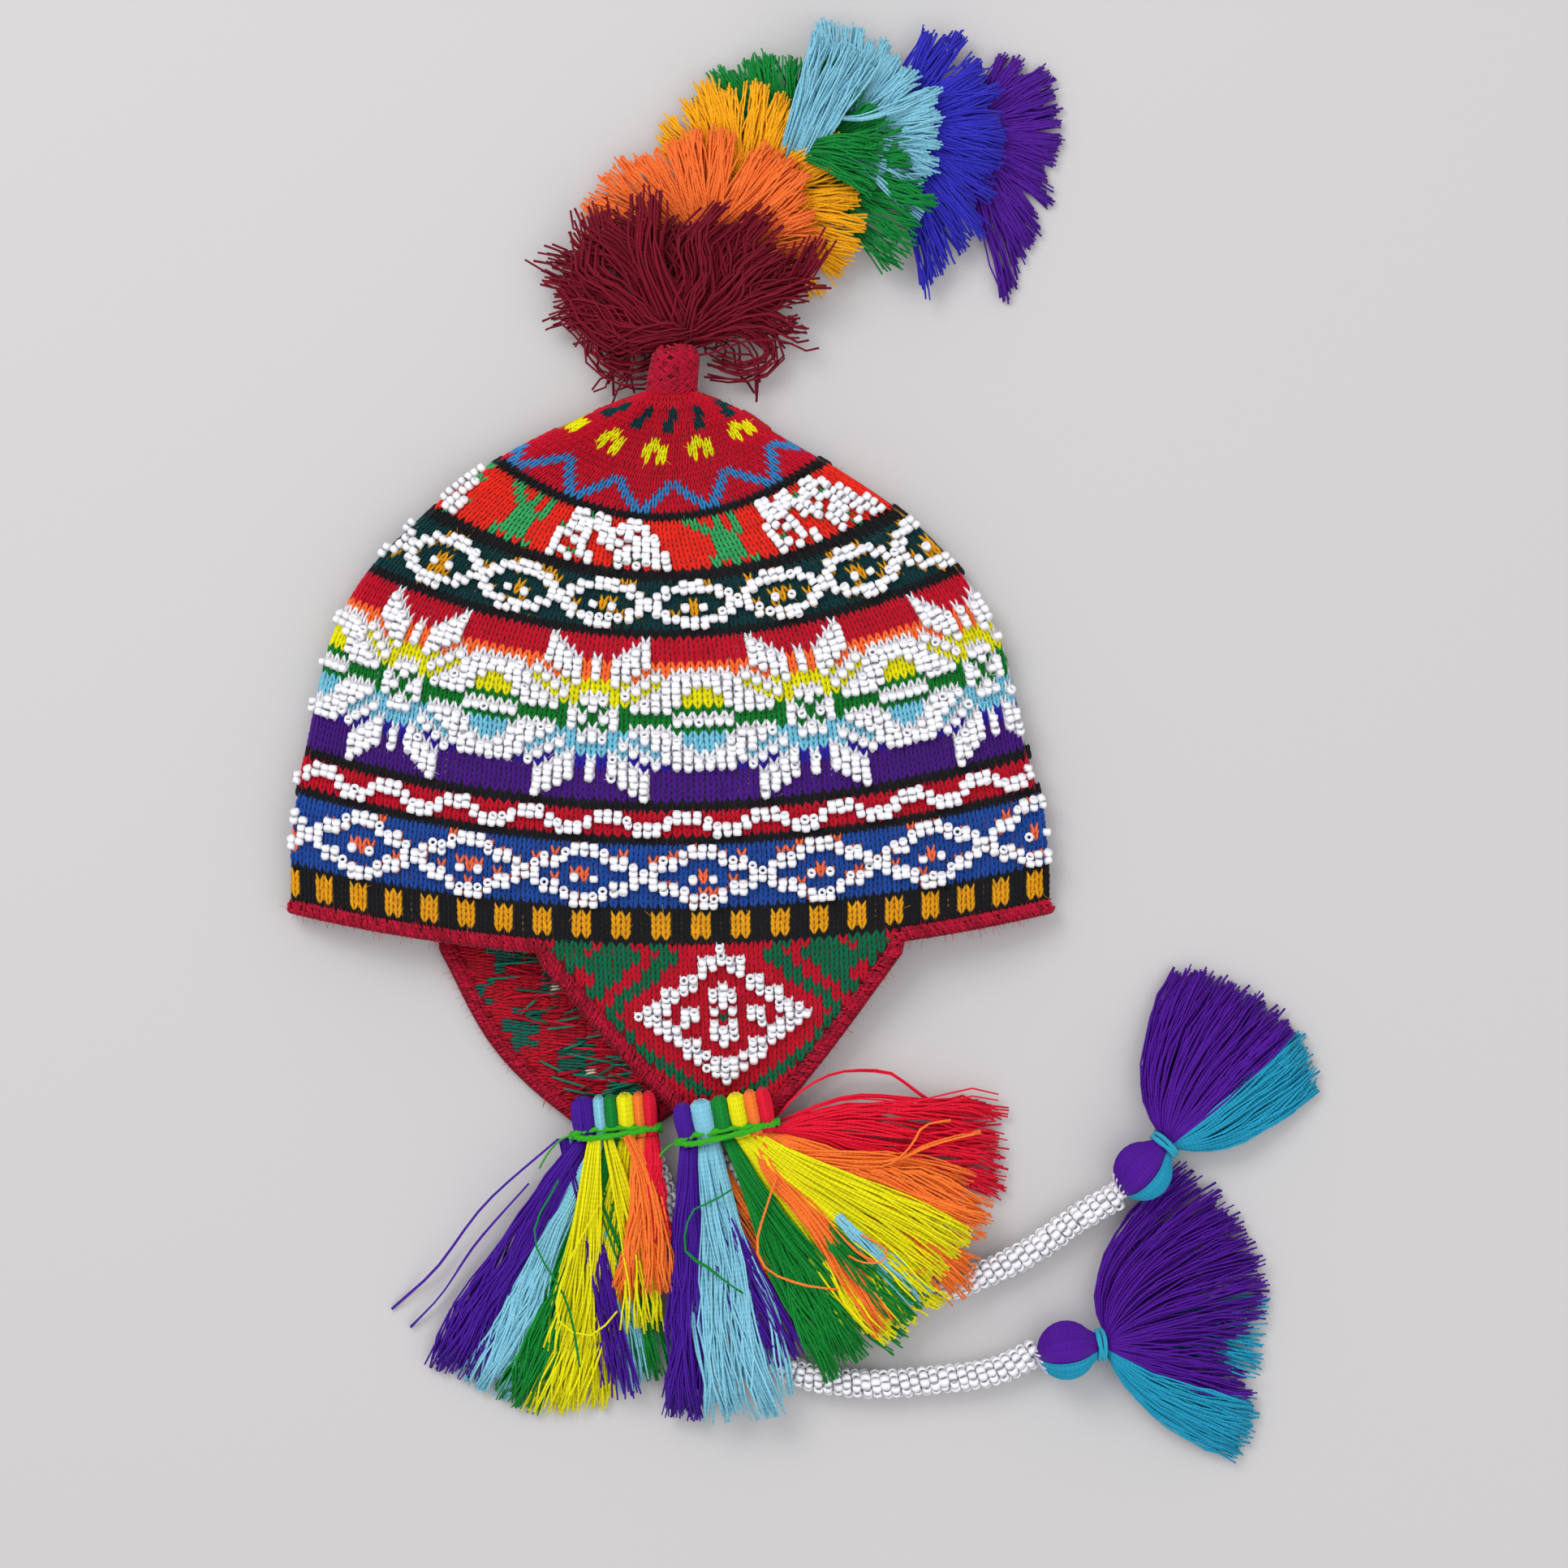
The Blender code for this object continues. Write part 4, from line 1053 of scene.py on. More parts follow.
@dataclass
class EarFlap:
    """One knitted ear flap, wide at the rim and narrow at its tip."""

    name: str
    near: bool
    left: float
    right: float
    tip: float
    belly: float
    tip_width: float
    lift: float
    form: CrownForm = field(default_factory=CrownForm)
    bead: SeedBead = SeedBead()
    length: float = 0.0695
    wall: float = 0.0034
    cloth_inset: float = 0.0011
    wale: float = 0.00305
    row_height: float = 0.00207
    stitch_depth: float = 0.0013
    seed: int = 31

    def tip_place(self) -> np.ndarray:
        """The middle of the tip, at the height of the surface."""
        return np.array([self.tip * self.form.rim_width / 2, -self.form.rim_below_origin - self.length, 0.0])

    def point(self, across: np.ndarray, along: np.ndarray, over: float = 0.0) -> np.ndarray:
        """Places in the flap's wall.

        Args:
            across: 0 at its left edge, 1 at its right one.
            along: 0 at the rim, 1 at the tip.
            over: how far above the middle of its wall.

        Returns:
            Points of shape (..., 3).
        """
        across, along = np.broadcast_arrays(np.asarray(across, float), np.asarray(along, float))
        share = self.left + (self.right - self.left) * across
        rim = self.form.point(0.0, share, True)
        half = self.form.rim_width / 2
        tip_x = self.tip * half + (across - 0.5) * self.tip_width
        tip_y = self.tip_place()[1]
        belly = self.belly * self.length * np.sin(math.pi * np.clip(along, 0.0, 1.2) ** 1.4)
        x = share * half + (tip_x - share * half) * along + (2.0 * across - 1.0) * belly
        y = rim[..., 1] - GAP + (tip_y - rim[..., 1] + GAP) * along
        if self.near:
            settle = 1.0 - np.maximum(0.0, 1.0 - along) ** 1.6
            z = rim[..., 2] - self.wall / 2 + (self.lift - rim[..., 2] + self.wall) * settle
        else:
            z = np.full_like(x, self.lift + self.wall / 2)
        return np.stack([x, y, z + over], axis=-1)

    def lay_cloth(self, flat: np.ndarray) -> tuple[np.ndarray, np.ndarray]:
        """Places and colours of a grid in the flap's outline, a little inside its faces: crimson darkened as
        painted shade between the stitches.
        """
        flat = (flat + 1.0) / 2
        over = self.wall / 2 - self.cloth_inset
        placed = self.point(1.02 * flat[:, 0] - 0.01, 1.0 - 0.99 * flat[:, 1], over)
        # The cloth shows between the stitches, so its crimson is darkened to half as painted shade
        return placed, np.tile(Hue.CRIMSON.dye * (0.5, 0.5, 0.5, 1.0), (len(flat), 1))

    def make_knit(self) -> tuple[bpy.types.Object, bpy.types.Object | None]:
        """Knit the flap's upper face. The near one has a pattern, the far one shows its loose floats."""
        rng = np.random.default_rng(self.seed)
        leg, bead = make_leg(), self.bead.shape()
        stitches, beads = Copies(), Copies()
        hues = np.array([hue.dye for hue in (Hue.CRIMSON, Hue.FLAP_GREEN, Hue.WHITE)])
        rows = round((self.length - 0.0140) / self.row_height)
        over = self.wall / 2 - 0.0004
        for j in range(rows):
            along = (j + 0.5) / rows
            width = self.point(1.0, along)[0] - self.point(0.0, along)[0]
            half = int((width / 2 - 0.0002) / self.wale)
            numbers = np.arange(-half, half + 1)
            across = 0.5 + numbers * self.wale / width
            seats = self.point(across, along, over)
            wide = np.tile([self.wale, 0.0, 0.0], (len(numbers), 1))
            tall = self.point(across, along - 0.5 / rows, over) - self.point(across, along + 0.5 / rows, over)
            tall[:, 0] = 0.0
            axes = np.stack([wide, tall, unit(np.cross(wide, tall))], axis=1)
            seats = seats + rng.normal(0.0, 0.00008, seats.shape)
            code = np.zeros(len(numbers), int)
            if self.near and j < len(FLAP_CHART):
                line = FLAP_CHART[j].ljust(24, ".")
                code = np.array([".gB".index(line[min(abs(k), 23)]) for k in numbers])
            dye = lit(hues[code], rng.normal(1.0, 0.06, (len(numbers), 1)))
            if self.near:
                knit(stitches, leg, seats, axes, self.stitch_depth, dye)
            else:
                self.add_floats(stitches, leg, seats, axes, dye, j, rng)
            held = code == 2
            if held.any():
                tilt = 20.0 + rng.normal(0.0, 14.0, len(numbers))
                self.bead.sew(beads, bead, seats[held], axes[held], tilt[held], rng)
        if not self.near:
            self.add_long_floats(stitches, rng)
        pieces = stitches.build(f"{self.name}_stitches")
        return pieces, beads.build(f"{self.name}_beads") if self.near else None

    def add_floats(
        self,
        stitches: Copies,
        leg: Shape,
        seats: np.ndarray,
        axes: np.ndarray,
        dye: np.ndarray,
        row: int,
        rng: np.random.Generator,
    ) -> None:
        """Add one row's purl bumps and the strands carried across the inner face, which lie level."""
        number = len(seats)
        column = np.arange(number) - number / 2
        weave = np.sin(column * 0.9 + row * 0.35) + np.sin(column * 0.37 - row * 0.55 + 1.0)
        green = (weave + rng.normal(0.0, 0.5, number) > 0.55) & (row < 24)
        dye = np.where(green[:, None], Hue.FLOAT_GREEN.dye, dye)
        dye = np.where((rng.random(number) < 0.012)[:, None], Hue.CREAM.dye, dye)
        for lift in (-0.27, 0.23):
            places = seats + axes[:, 1] * lift - axes[:, 2] * (self.stitch_depth * 0.3)
            sway = rng.normal(0.0, 0.28, (number, 1))
            line = axes[:, 0] * rng.uniform(1.15, 1.8, (number, 1)) + axes[:, 1] * sway
            frames = np.stack([-axes[:, 1] * 0.66, line, axes[:, 2] * self.stitch_depth], axis=1)
            stitches.add_shapes(leg, places, frames, dye)

    def add_long_floats(self, stitches: Copies, rng: np.random.Generator) -> None:
        """Add longer slack strands of green and red that cross the inner face."""
        count = 150
        along = rng.uniform(0.04, 0.93, count)
        across = rng.uniform(0.06, 0.80, count)
        reach, slant = rng.uniform(0.05, 0.14, count), rng.normal(0.0, 0.035, count)
        steps = np.linspace(0.0, 1.0, 6)
        places = across[:, None] + reach[:, None] * steps * (1.0 + along[:, None])
        paths = self.point(np.minimum(places, 0.97), along[:, None] + slant[:, None] * steps, self.wall / 2)
        paths[..., 2] += np.sin(steps * math.pi) * 0.0007
        hues = np.array([linear(hue) for hue in ("#0C7A60", "#0A5E4C", "#C81030", "#A80C28")])
        stitches.add_tubes(paths, 0.00042, dye=hues[rng.integers(0, 4, count)])

    def build(self) -> None:
        """Build the flap's pieces and put them into the frame."""
        wall = self.wall - 2 * self.cloth_inset
        enter(make_sheet(f"{self.name}_cloth", (16, 18), self.lay_cloth, wall), WOOL, self.name)
        stitches, beads = self.make_knit()
        enter(stitches, WOOL, self.name)
        if beads:
            enter(beads, BEAD_GLASS, self.name)


# Crochet edge and stem


@dataclass
class CrochetEdge:
    """The crocheted binding round the rim and both flaps: a soft roll of slanted loops."""

    near: EarFlap
    far: EarFlap
    form: CrownForm = field(default_factory=CrownForm)
    rim_width: float = 0.0046
    flap_width: float = 0.0055
    thickness: float = 0.0044
    pitch: float = 0.0016
    fuzz_count: int = 700
    seed: int = 41

    def flap_route(self, flap: EarFlap) -> list[tuple[np.ndarray, np.ndarray, float]]:
        """Places along a flap's left side, tip and right side, the way out of the cloth, and width."""
        route = []
        steps = np.linspace(0.08, 0.96, 12)
        half = self.flap_width / 2 + GAP
        for across, along_steps, sign in ((0.0, steps, 1.0), (1.0, steps[::-1], -1.0)):
            for along in along_steps:
                before, after = flap.point(across, along - 0.04), flap.point(across, along + 0.04)
                square = np.array([before[1] - after[1], after[0] - before[0], 0.0])
                out = unit(square) * -sign
                route.append((flap.point(across, along) + out * half, out, self.flap_width))
            if across == 0.0:
                for share in (0.0, 0.5, 1.0):
                    down = unit(np.array([-0.55 + 1.1 * share, -1.0, 0.0]))
                    route.append((flap.point(share, 1.0) + down * half, down, self.flap_width))
        return route

    def rim_route(self, start: float, stop: float) -> list[tuple[np.ndarray, np.ndarray, float]]:
        """Places round the crown's rim by angle round the flattened ring, 0 at the right fold."""
        width, _, _, depth = self.form.row(np.array(0.0))
        half = width * self.form.rim_width / 2 - self.form.wall / 2
        top = depth * self.form.depth - self.form.wall / 2
        fold = self.form.fold_height
        route = []
        for degrees in np.linspace(start, stop, max(4, int(abs(stop - start) / 5))):
            share = math.cos(math.radians(degrees))
            rise = math.sqrt(max(0.0, 1.0 - share * share))
            if math.sin(math.radians(degrees)) >= -1e-9:
                height = fold + (top - fold) * rise
            else:
                height = fold + (self.thickness / 2 + GAP - fold) * min(1.0, 1.25 * rise**0.7)
            level = self.form.point(0.0, share, True)[1] - self.rim_width / 2 - GAP
            middle = np.array([half * share, level, height])
            route.append((middle, np.array([0.0, -1.0, 0.0]), self.rim_width))
        return route

    def route(self) -> tuple[np.ndarray, np.ndarray, np.ndarray]:
        """The whole closed route at even steps: its places, ways out and widths."""

        def angle(share: float) -> float:
            return math.degrees(math.acos(share))

        far = self.flap_route(self.far)
        left = self.rim_route(angle(self.near.left - 0.01), 360.0 - angle(self.far.left - 0.01))
        right = self.rim_route(-angle(self.far.right + 0.01), angle(self.near.right + 0.01))
        joined = self.flap_route(self.near)[::-1] + left + far + right
        places, outs, widths = (np.array(column) for column in zip(*joined, joined[0]))
        along = measure(places)
        stops = np.linspace(0.0, along[-1], int(along[-1] / self.pitch), endpoint=False)
        return pick(places, along, stops), unit(pick(outs, along, stops)), np.interp(stops, along, widths)

    def build(self) -> None:
        """Build the roll with its loops, and its fuzz, and put them into the frame."""
        rng = np.random.default_rng(self.seed)
        places, outs, widths = self.route()
        number = len(places)
        ahead = unit(np.roll(places, -1, axis=0) - np.roll(places, 1, axis=0))
        outs = unit(outs - ahead * np.sum(outs * ahead, axis=1, keepdims=True))
        over = np.cross(ahead, outs)
        over = over * np.sign(over[:, 2:] + 1e-9)
        edge = Copies()
        sides = 8
        angles = TAU * np.arange(sides) / sides
        ring = outs[:, None] * (np.cos(angles)[None, :, None] * (widths * 0.40)[:, None, None])
        ring = ring + over[:, None] * (np.sin(angles)[None, :, None] * self.thickness * 0.40)
        first = edge.add_points((places[:, None] + ring).reshape(-1, 3))
        index = first + np.arange(number * sides).reshape(number, sides)
        after, turned = np.roll(index, -1, axis=0), np.roll(index, -1, axis=1)
        edge.add_faces(np.stack([index, after, np.roll(after, -1, axis=1), turned], axis=-1).reshape(-1, 4))
        # The roll beneath the loops is dyed dark: painted shade in the gaps between the loops
        edge.mark("yarn", np.tile(Hue.BINDING_SHADE.dye, (number * sides, 1)))
        leg = make_leg()
        for turn in (-50.0, -8.0, 34.0, 75.0, 118.0, 160.0):
            cos, sin = math.cos(math.radians(turn)), math.sin(math.radians(turn))
            way = outs * cos + over * sin
            reach = np.sqrt((widths * 0.5 * cos) ** 2 + (self.thickness * 0.5 * sin) ** 2)
            shift = ahead * rng.normal(0.0, 0.0002, (number, 1))
            seats = places + way * (reach * 0.80)[:, None] + shift - outs * 0.0007
            line = unit(outs * -sin + over * cos + ahead * rng.normal(0.55, 0.14, (number, 1)))
            side = np.cross(line, way) * 0.0017 * rng.uniform(0.8, 1.25, (number, 1))
            line = line * 0.0044 * rng.uniform(0.85, 1.2, (number, 1))
            dye = lit(Hue.BINDING.dye, rng.uniform(0.65, 1.35, (number, 1)))
            edge.add_shapes(leg, seats, np.stack([side, line, way * 0.0015], axis=1), dye)
        enter(edge.build("crochet_edge_loops"), WOOL, "crochet_edge")
        enter(self.make_fuzz(places, rng), WOOL, "crochet_edge")

    def make_fuzz(self, places: np.ndarray, rng: np.random.Generator) -> bpy.types.Object:
        """Short fibres that stand off the loops."""
        count = self.fuzz_count
        roots = places[rng.integers(0, len(places), count)]
        turn = rng.uniform(0.0, TAU, count)
        level = np.stack([np.cos(turn), np.sin(turn), rng.uniform(-0.1, 0.5, count)], axis=1)
        reach = rng.uniform(0.0030, 0.0052, (count, 1))
        steps = np.linspace(0.0, 1.0, 3)[None, :, None]
        paths = roots[:, None] + (level * reach)[:, None] * steps
        paths[..., 2] = np.maximum(paths[..., 2] + np.sin(steps[..., 0] * math.pi) * 0.0006, GAP)
        fuzz = Copies()
        # The fibres are dyed lighter than the loops: painted highlight of fibres catching the light
        fuzz.add_tubes(paths, 0.00006, dye=np.tile(Hue.BINDING.dye * (1.3, 1.3, 1.3, 1.0), (count, 1)))
        return fuzz.build("crochet_edge_fuzz")


@dataclass
class Stem:
    """The short stem on the crown's top: a soft wrapped stub that the plume is sewn into."""

    root: tuple[float, float, float] = (0.0, 0.0965, 0.0087)
    length: float = 0.0150
    radius: float = 0.0090
    top_radius: float = 0.0080
    lean: float = 0.0020
    loops: int = 620
    seed: int = 51

    def build(self) -> None:
        """Build the stub with its wound loops and put it into the frame."""
        rng = np.random.default_rng(self.seed)
        count = self.loops
        share, turn = rng.random(count), rng.uniform(0.0, TAU, count)
        girth = self.radius + (self.top_radius - self.radius) * share
        girth = girth * np.sqrt(np.clip(1.0 - ((share - 0.75) / 0.25).clip(0.0) ** 2 * 0.55, 0.1, 1.0))
        middle = np.array(self.root) + share[:, None] * (self.lean, self.length, 0.0)
        out = np.stack([np.cos(turn), np.zeros(count), np.sin(turn)], axis=1)
        line = unit(np.cross(out, (0.0, 1.0, 0.0)) * rng.choice([-1.0, 1.0], (count, 1)) + (0.0, 0.7, 0.0))
        frames = np.stack([np.cross(line, out) * 0.0016, line * 0.0040, out * 0.0015], axis=1)
        dye = lit(Hue.BINDING.dye, rng.uniform(0.7, 1.4, (count, 1)))
        stub = Copies()
        stub.add_shapes(make_leg(), middle + out * (girth * 0.88)[:, None], frames, dye)
        deselect_all()
        bpy.ops.mesh.primitive_uv_sphere_add(segments=20, ring_count=12, radius=1.0)
        core = Shape.from_active()
        frame = np.diag([self.radius * 0.86, self.length * 0.62, self.radius * 0.86])[None]
        spot = np.array([self.root]) + (self.lean / 2, self.length * 0.42, 0.0)
        # The core beneath the loops is dark: painted shade between the loops
        stub.add_shapes(core, spot, frame, Hue.BINDING_SHADE.dye[None])
        enter(stub.build("stem_loops"), WOOL, "stem")


# Tassels


@dataclass(frozen=True)
class Seam:
    """Where one tassel ends and the next begins: at the neck, and the curve that the seam follows."""

    head: float
    leave: float
    angle: float
    length: float


@dataclass(frozen=True)
class TasselYarn:
    """One tassel's yarn: its name, colours and how high it lies, in rope diameters.

    spare is the share of its fan, from its first seam on, that it leaves to its neighbour, and reach
    the share of its length that the strands hang down.
    """

    name: str
    colour: str
    deep: str
    lift: float = 0.0
    drop: float = 0.0
    spare: float = 0.0
    reach: float = 1.0


def bow(start: np.ndarray, pull: np.ndarray, end: np.ndarray, shares: np.ndarray) -> np.ndarray:
    """Curves that leave their starts for their pulls and bend to their ends, of shape (n, m, 3)."""
    t = shares[None, :, None]
    return (1 - t) ** 2 * start[:, None] + 2 * t * (1 - t) * pull[:, None] + t * t * end[:, None]


def between(first: Seam, last: Seam, t: np.ndarray) -> np.ndarray:
    """Head, leave, angle and length at shares from one seam to the next, of shape (n, 4)."""
    ends = np.array([astuple(first), astuple(last)])
    return ends[0] + (ends[1] - ends[0]) * t[:, None]


def seam_curves(starts: np.ndarray, seams: np.ndarray, length: float, shares: np.ndarray) -> np.ndarray:
    """Curves that leave the neck at one angle and end at another.

    Args:
        starts: where each curve starts, of shape (n, 3).
        seams: leave angle, end angle and length share of each, of shape (n, 3).
        length: the skirt's length.
        shares: places along the curves, of shape (m,).

    Returns:
        Points of shape (n, m, 3).
    """
    reach = (seams[:, 2] * length)[:, None]
    pull = starts + heading(seams[:, 0]) * reach * 0.42
    return bow(starts, pull, starts + heading(seams[:, 1]) * reach, shares)


def wander(rng: np.random.Generator, number: int, shares: np.ndarray, amount: float) -> np.ndarray:
    """A slow sideways drift for each strand that grows from its root, of shape (number, steps)."""
    turns = rng.uniform(0.6, 1.9, (number, 1))
    phase = rng.uniform(0.0, TAU, (number, 1))
    crimp = 0.22 * np.sin(turns * 2.6 * TAU * shares[None] + phase * 3.0)
    return amount * shares[None] * (np.sin(turns * TAU * shares[None] + phase) - np.sin(phase) * 0.5 + crimp)


@dataclass(frozen=True)
class Bunch:
    """Strands of one tassel that fell apart from the rest: their yarn, number, width, height and way.

    The width goes from the first number to the second, and the height from the first through the
    second to the third. All lengths are in millimetres.
    """

    yarn: str
    strands: int
    wide: tuple[float, float]
    high: tuple[float, float, float]
    way: tuple[tuple[float, float], ...]

    def paths(self, rng: np.random.Generator, radius: float) -> np.ndarray:
        """The strands' paths, of shape (strands, 12, 3) in metres."""
        line = smooth_way(np.array(self.way) * 0.001, 10)
        along = measure(line)
        shares = np.linspace(0.0, 1.0, 12)
        number, many = self.strands, self.strands > 6
        reach = np.clip(1.0 - np.abs(rng.normal(0.0, 0.06, number)), 0.75, 1.0) if many else np.ones(number)
        middle = pick(line, along, reach[:, None] * shares[None] * along[-1])
        left = left_of(unit(np.gradient(middle, axis=1)))[..., :2]
        wide = np.interp(shares, (0.0, 1.0), self.wide) * 0.001
        across = rng.uniform(-0.5, 0.5, number) if number > 3 else rng.uniform(-0.2, 0.2, number)
        offset = across[:, None] * wide[None] + wander(rng, number, shares, 0.0012 if many else 0.0002)
        level = middle + left * offset[..., None]
        high = np.interp(shares, (0.0, 0.45, 1.0), self.high) * 0.001
        tall = high[None] + rng.uniform(-0.0016, 0.0006, (number, 1)) + wander(rng, number, shares, 0.0008)
        return np.concatenate([level, np.maximum(tall, radius + GAP)[..., None]], axis=-1)


def add_bunches(
    yarns: Copies, bunches: tuple[Bunch, ...], name: str, radius: float, rng: np.random.Generator
) -> None:
    """Add the bunches of the yarn of that name, as strands of that radius."""
    for bunch in bunches:
        if bunch.yarn == name:
            yarns.add_tubes(bunch.paths(rng, radius), radius, toned(rng, 0.25, 0.2, bunch.strands))


@dataclass
class TasselCluster:
    """The six tassels at the tip of one ear flap and the thread that ties them.

    edge_rise is how far the crochet edge stands above the flap, neck_gap how far the neck lies
    beyond the tip, and head_yarn, ply and tail_yarn are radii.
    """

    side: str
    flap: EarFlap
    width: float
    tilt: float
    seams: tuple[Seam, ...]
    yarns: tuple[TasselYarn, ...]
    bunches: tuple[Bunch, ...]
    skirt: float = 0.085
    head_length: float = 0.0125
    head_thick: float = 0.009
    neck_thick: float = 0.0048
    tie_thick: float = 0.0018
    edge_rise: float = 0.0022
    neck_gap: float = 0.0055
    head_yarn: float = 0.00052
    ply: float = 0.00080
    tail_yarn: float = 0.00035
    rope: float = 0.0088
    strands: int = 140
    clumps: int = 11
    folds: int = 46
    radius: float = 0.00034
    seed: int = 61

    def neck(self) -> tuple[np.ndarray, np.ndarray, np.ndarray]:
        """The neck's middle, the way across it and the way that the skirts hang."""
        edge_top = self.flap.lift + self.flap.wall / 2 + self.edge_rise
        height = edge_top + 2 * GAP + 1.24 * self.tie_thick + self.neck_thick / 2
        across = heading(self.tilt)
        return self.flap.tip_place() + (0.0, -self.neck_gap, height), across, -left_of(across)

    def strand_paths(self, index: int, rng: np.random.Generator) -> tuple[np.ndarray, np.ndarray]:
        """Paths of one tassel's strands, from the tie to their ends, and how high up each lies."""
        yarn, number, clumps = self.yarns[index], self.strands, self.clumps
        middle, across, line = self.neck()
        shares = np.linspace(0.0, 1.0, 11)
        clump = rng.integers(0, clumps, number)
        tight = rng.uniform(-0.5, 0.5, number) / clumps * 1.5
        t = np.clip((clump + 0.5) / clumps + tight, -0.05, 1.05)
        t = yarn.spare + (1.0 - yarn.spare) * t
        seams = between(self.seams[index], self.seams[index + 1], t)
        starts = middle + across * ((seams[:, :1] - 0.5) * self.width) + line * (self.tie_thick * 0.62 + GAP)
        reach = rng.normal(0.0, 0.035, clumps)[clump] + rng.normal(0.0, 0.03, number)
        seams[:, 3] *= np.clip(1.0 + reach, 0.75, 1.05) * yarn.reach
        paths = seam_curves(starts, seams[:, 1:], self.skirt, shares)
        drift = wander(rng, clumps, shares, 0.0022)[clump] + wander(rng, number, shares, 0.0017)
        paths = paths + left_of(unit(np.gradient(paths, axis=1))) * drift[..., None]
        lift, drop = yarn.lift * self.rope, yarn.drop * self.rope
        stops = (0.0, 0.14, 0.45, 0.75, 0.97, 1.0)
        neck_low = middle[2] - self.neck_thick / 2
        lows = (neck_low, max(lift, 0.55 * middle[2]), lift, lift + (drop - lift) * 0.25, drop, drop)
        thick = (self.neck_thick, 0.0052, 0.0062, 0.0056, 0.0040, 0.0036)
        low, tall = np.interp(shares, stops, lows), np.interp(shares, stops, thick)
        s = np.abs(2.0 * np.clip(t, 0.0, 1.0) - 1.0)
        profile = np.sqrt(np.maximum(0.05, 1.0 - s**2.6))
        level = 1.0 - rng.random(number) ** 1.8 * 1.9
        height = low + tall / 2 + (tall / 2 - 0.0003) * (profile * level)[:, None]
        height = height + wander(rng, number, shares, 0.0006)
        paths[..., 2] = np.maximum(height, self.radius + GAP)
        return paths, level

    def head_paths(self, index: int, rng: np.random.Generator) -> np.ndarray:
        """Paths of one tassel's yarn over its folded head, down both sides of the neck."""
        first, last = self.seams[index], self.seams[index + 1]
        middle, across, line = self.neck()
        span = (last.head - first.head) * self.width
        centre = middle + across * (((first.head + last.head) / 2 - 0.5) * self.width)
        centre[2] += (self.head_thick - self.neck_thick) / 4
        turn = np.linspace(0.0, TAU, self.folds, endpoint=False) + rng.normal(0.0, 0.03, self.folds)
        shares = np.linspace(-0.18, 1.0, 11)
        stops = (-0.18, 0.0, 0.16, 0.5, 0.80, 0.93, 1.0)
        bulge = np.interp(shares, stops, (0.86, 0.86, 1.05, 1.20, 1.12, 0.86, 0.36))
        spread = across[None, None] * (np.cos(turn)[:, None, None] * (span / 2 * 0.93) * bulge[None, :, None])
        tall = np.interp(shares, (-0.18, 0.0, 0.25, 1.0), (0.54, 0.54, 1.0, 1.0)) * self.head_thick / 2
        heads = centre - line * (shares * self.head_length * 0.97)[:, None] + spread
        return heads + UP * (np.sin(turn)[:, None] * (tall * bulge)[None])[..., None] * 0.95

    def make_skirt(self, index: int, rng: np.random.Generator) -> None:
        """One tassel's strands and its folded head."""
        yarn = self.yarns[index]
        paths, level = self.strand_paths(index, rng)
        number, steps = paths.shape[:2]
        radii = self.radius * rng.uniform(0.85, 1.15, (number, 1)) * np.ones((1, steps))
        radii *= 1.0 + 0.35 * (1.0 - level[:, None])
        radii[:, -1] *= 0.75
        skirt = Copies()
        # Painted shade: strands that lie lower in the skirt take more of the deep colour, besides a random tone
        skirt.add_tubes(paths, radii, np.clip(0.45 - 0.35 * level + rng.normal(0.0, 0.18, number), 0.0, 1.0))
        add_bunches(skirt, self.bunches, yarn.name, self.radius, rng)
        skirt.add_tubes(self.head_paths(index, rng), self.head_yarn, toned(rng, 0.3, 0.16, self.folds))
        finish = StrandYarn(f"{yarn.name} tassel yarn", 0.6, 0.06, yarn.colour, yarn.deep, 1.6)
        node = f"{self.side}_tassel_{yarn.name}"
        enter(skirt.build(f"{node}_strands"), finish, node)

    def make_tie(self) -> None:
        """The bright green thread, wound round the neck in two plies with a loose tail."""
        middle, across, line = self.neck()
        turn = np.linspace(0.0, TAU * 2, 90)
        half, tall = self.width / 2 + 0.0010, self.neck_thick / 2 + 0.0015
        flat_cos, flat_sin = (np.sign(wave) * np.abs(wave) ** 0.5 for wave in (np.cos(turn), np.sin(turn)))
        loop = middle + across * (half * flat_cos)[:, None]
        loop = loop + line * (0.0009 * np.sin(turn * 2.5) + 0.0011 * (turn / TAU - 1.0))[:, None]
        loop[:, 2] += tall * flat_sin
        out = unit(across * flat_cos[:, None] + UP * flat_sin[:, None])
        tie = Copies()
        for ply in (0.0, math.pi):
            twist = turn * 14.0 + ply
            side = np.cos(twist)[:, None] * out + np.sin(twist)[:, None] * line
            tie.add_tubes((loop + side * 0.00048)[None], self.ply, 0.2, 5)
        t = np.linspace(0.0, 1.0, 14)[:, None]
        tail = middle - across * (half * 0.98) - across * (0.012 * t) + line * (0.010 * t * t)
        tail[:, 2] += 0.0016 * np.sin(t[:, 0] * math.pi) - t[:, 0] * 0.003
        tie.add_tubes(tail[None], self.tail_yarn, 0.1, 4)
        finish = StrandYarn("green tie thread", 0.6, 0.2, "#34AE14", "#1A7008", 1.1)
        enter(tie.build(f"{self.side}_tie_thread"), finish, f"{self.side}_tie")

    def build(self) -> None:
        """Build all six tassels and the thread."""
        rng = np.random.default_rng(self.seed)
        for index in range(len(self.yarns)):
            self.make_skirt(index, rng)
        self.make_tie()


# Bead ropes and end tassels


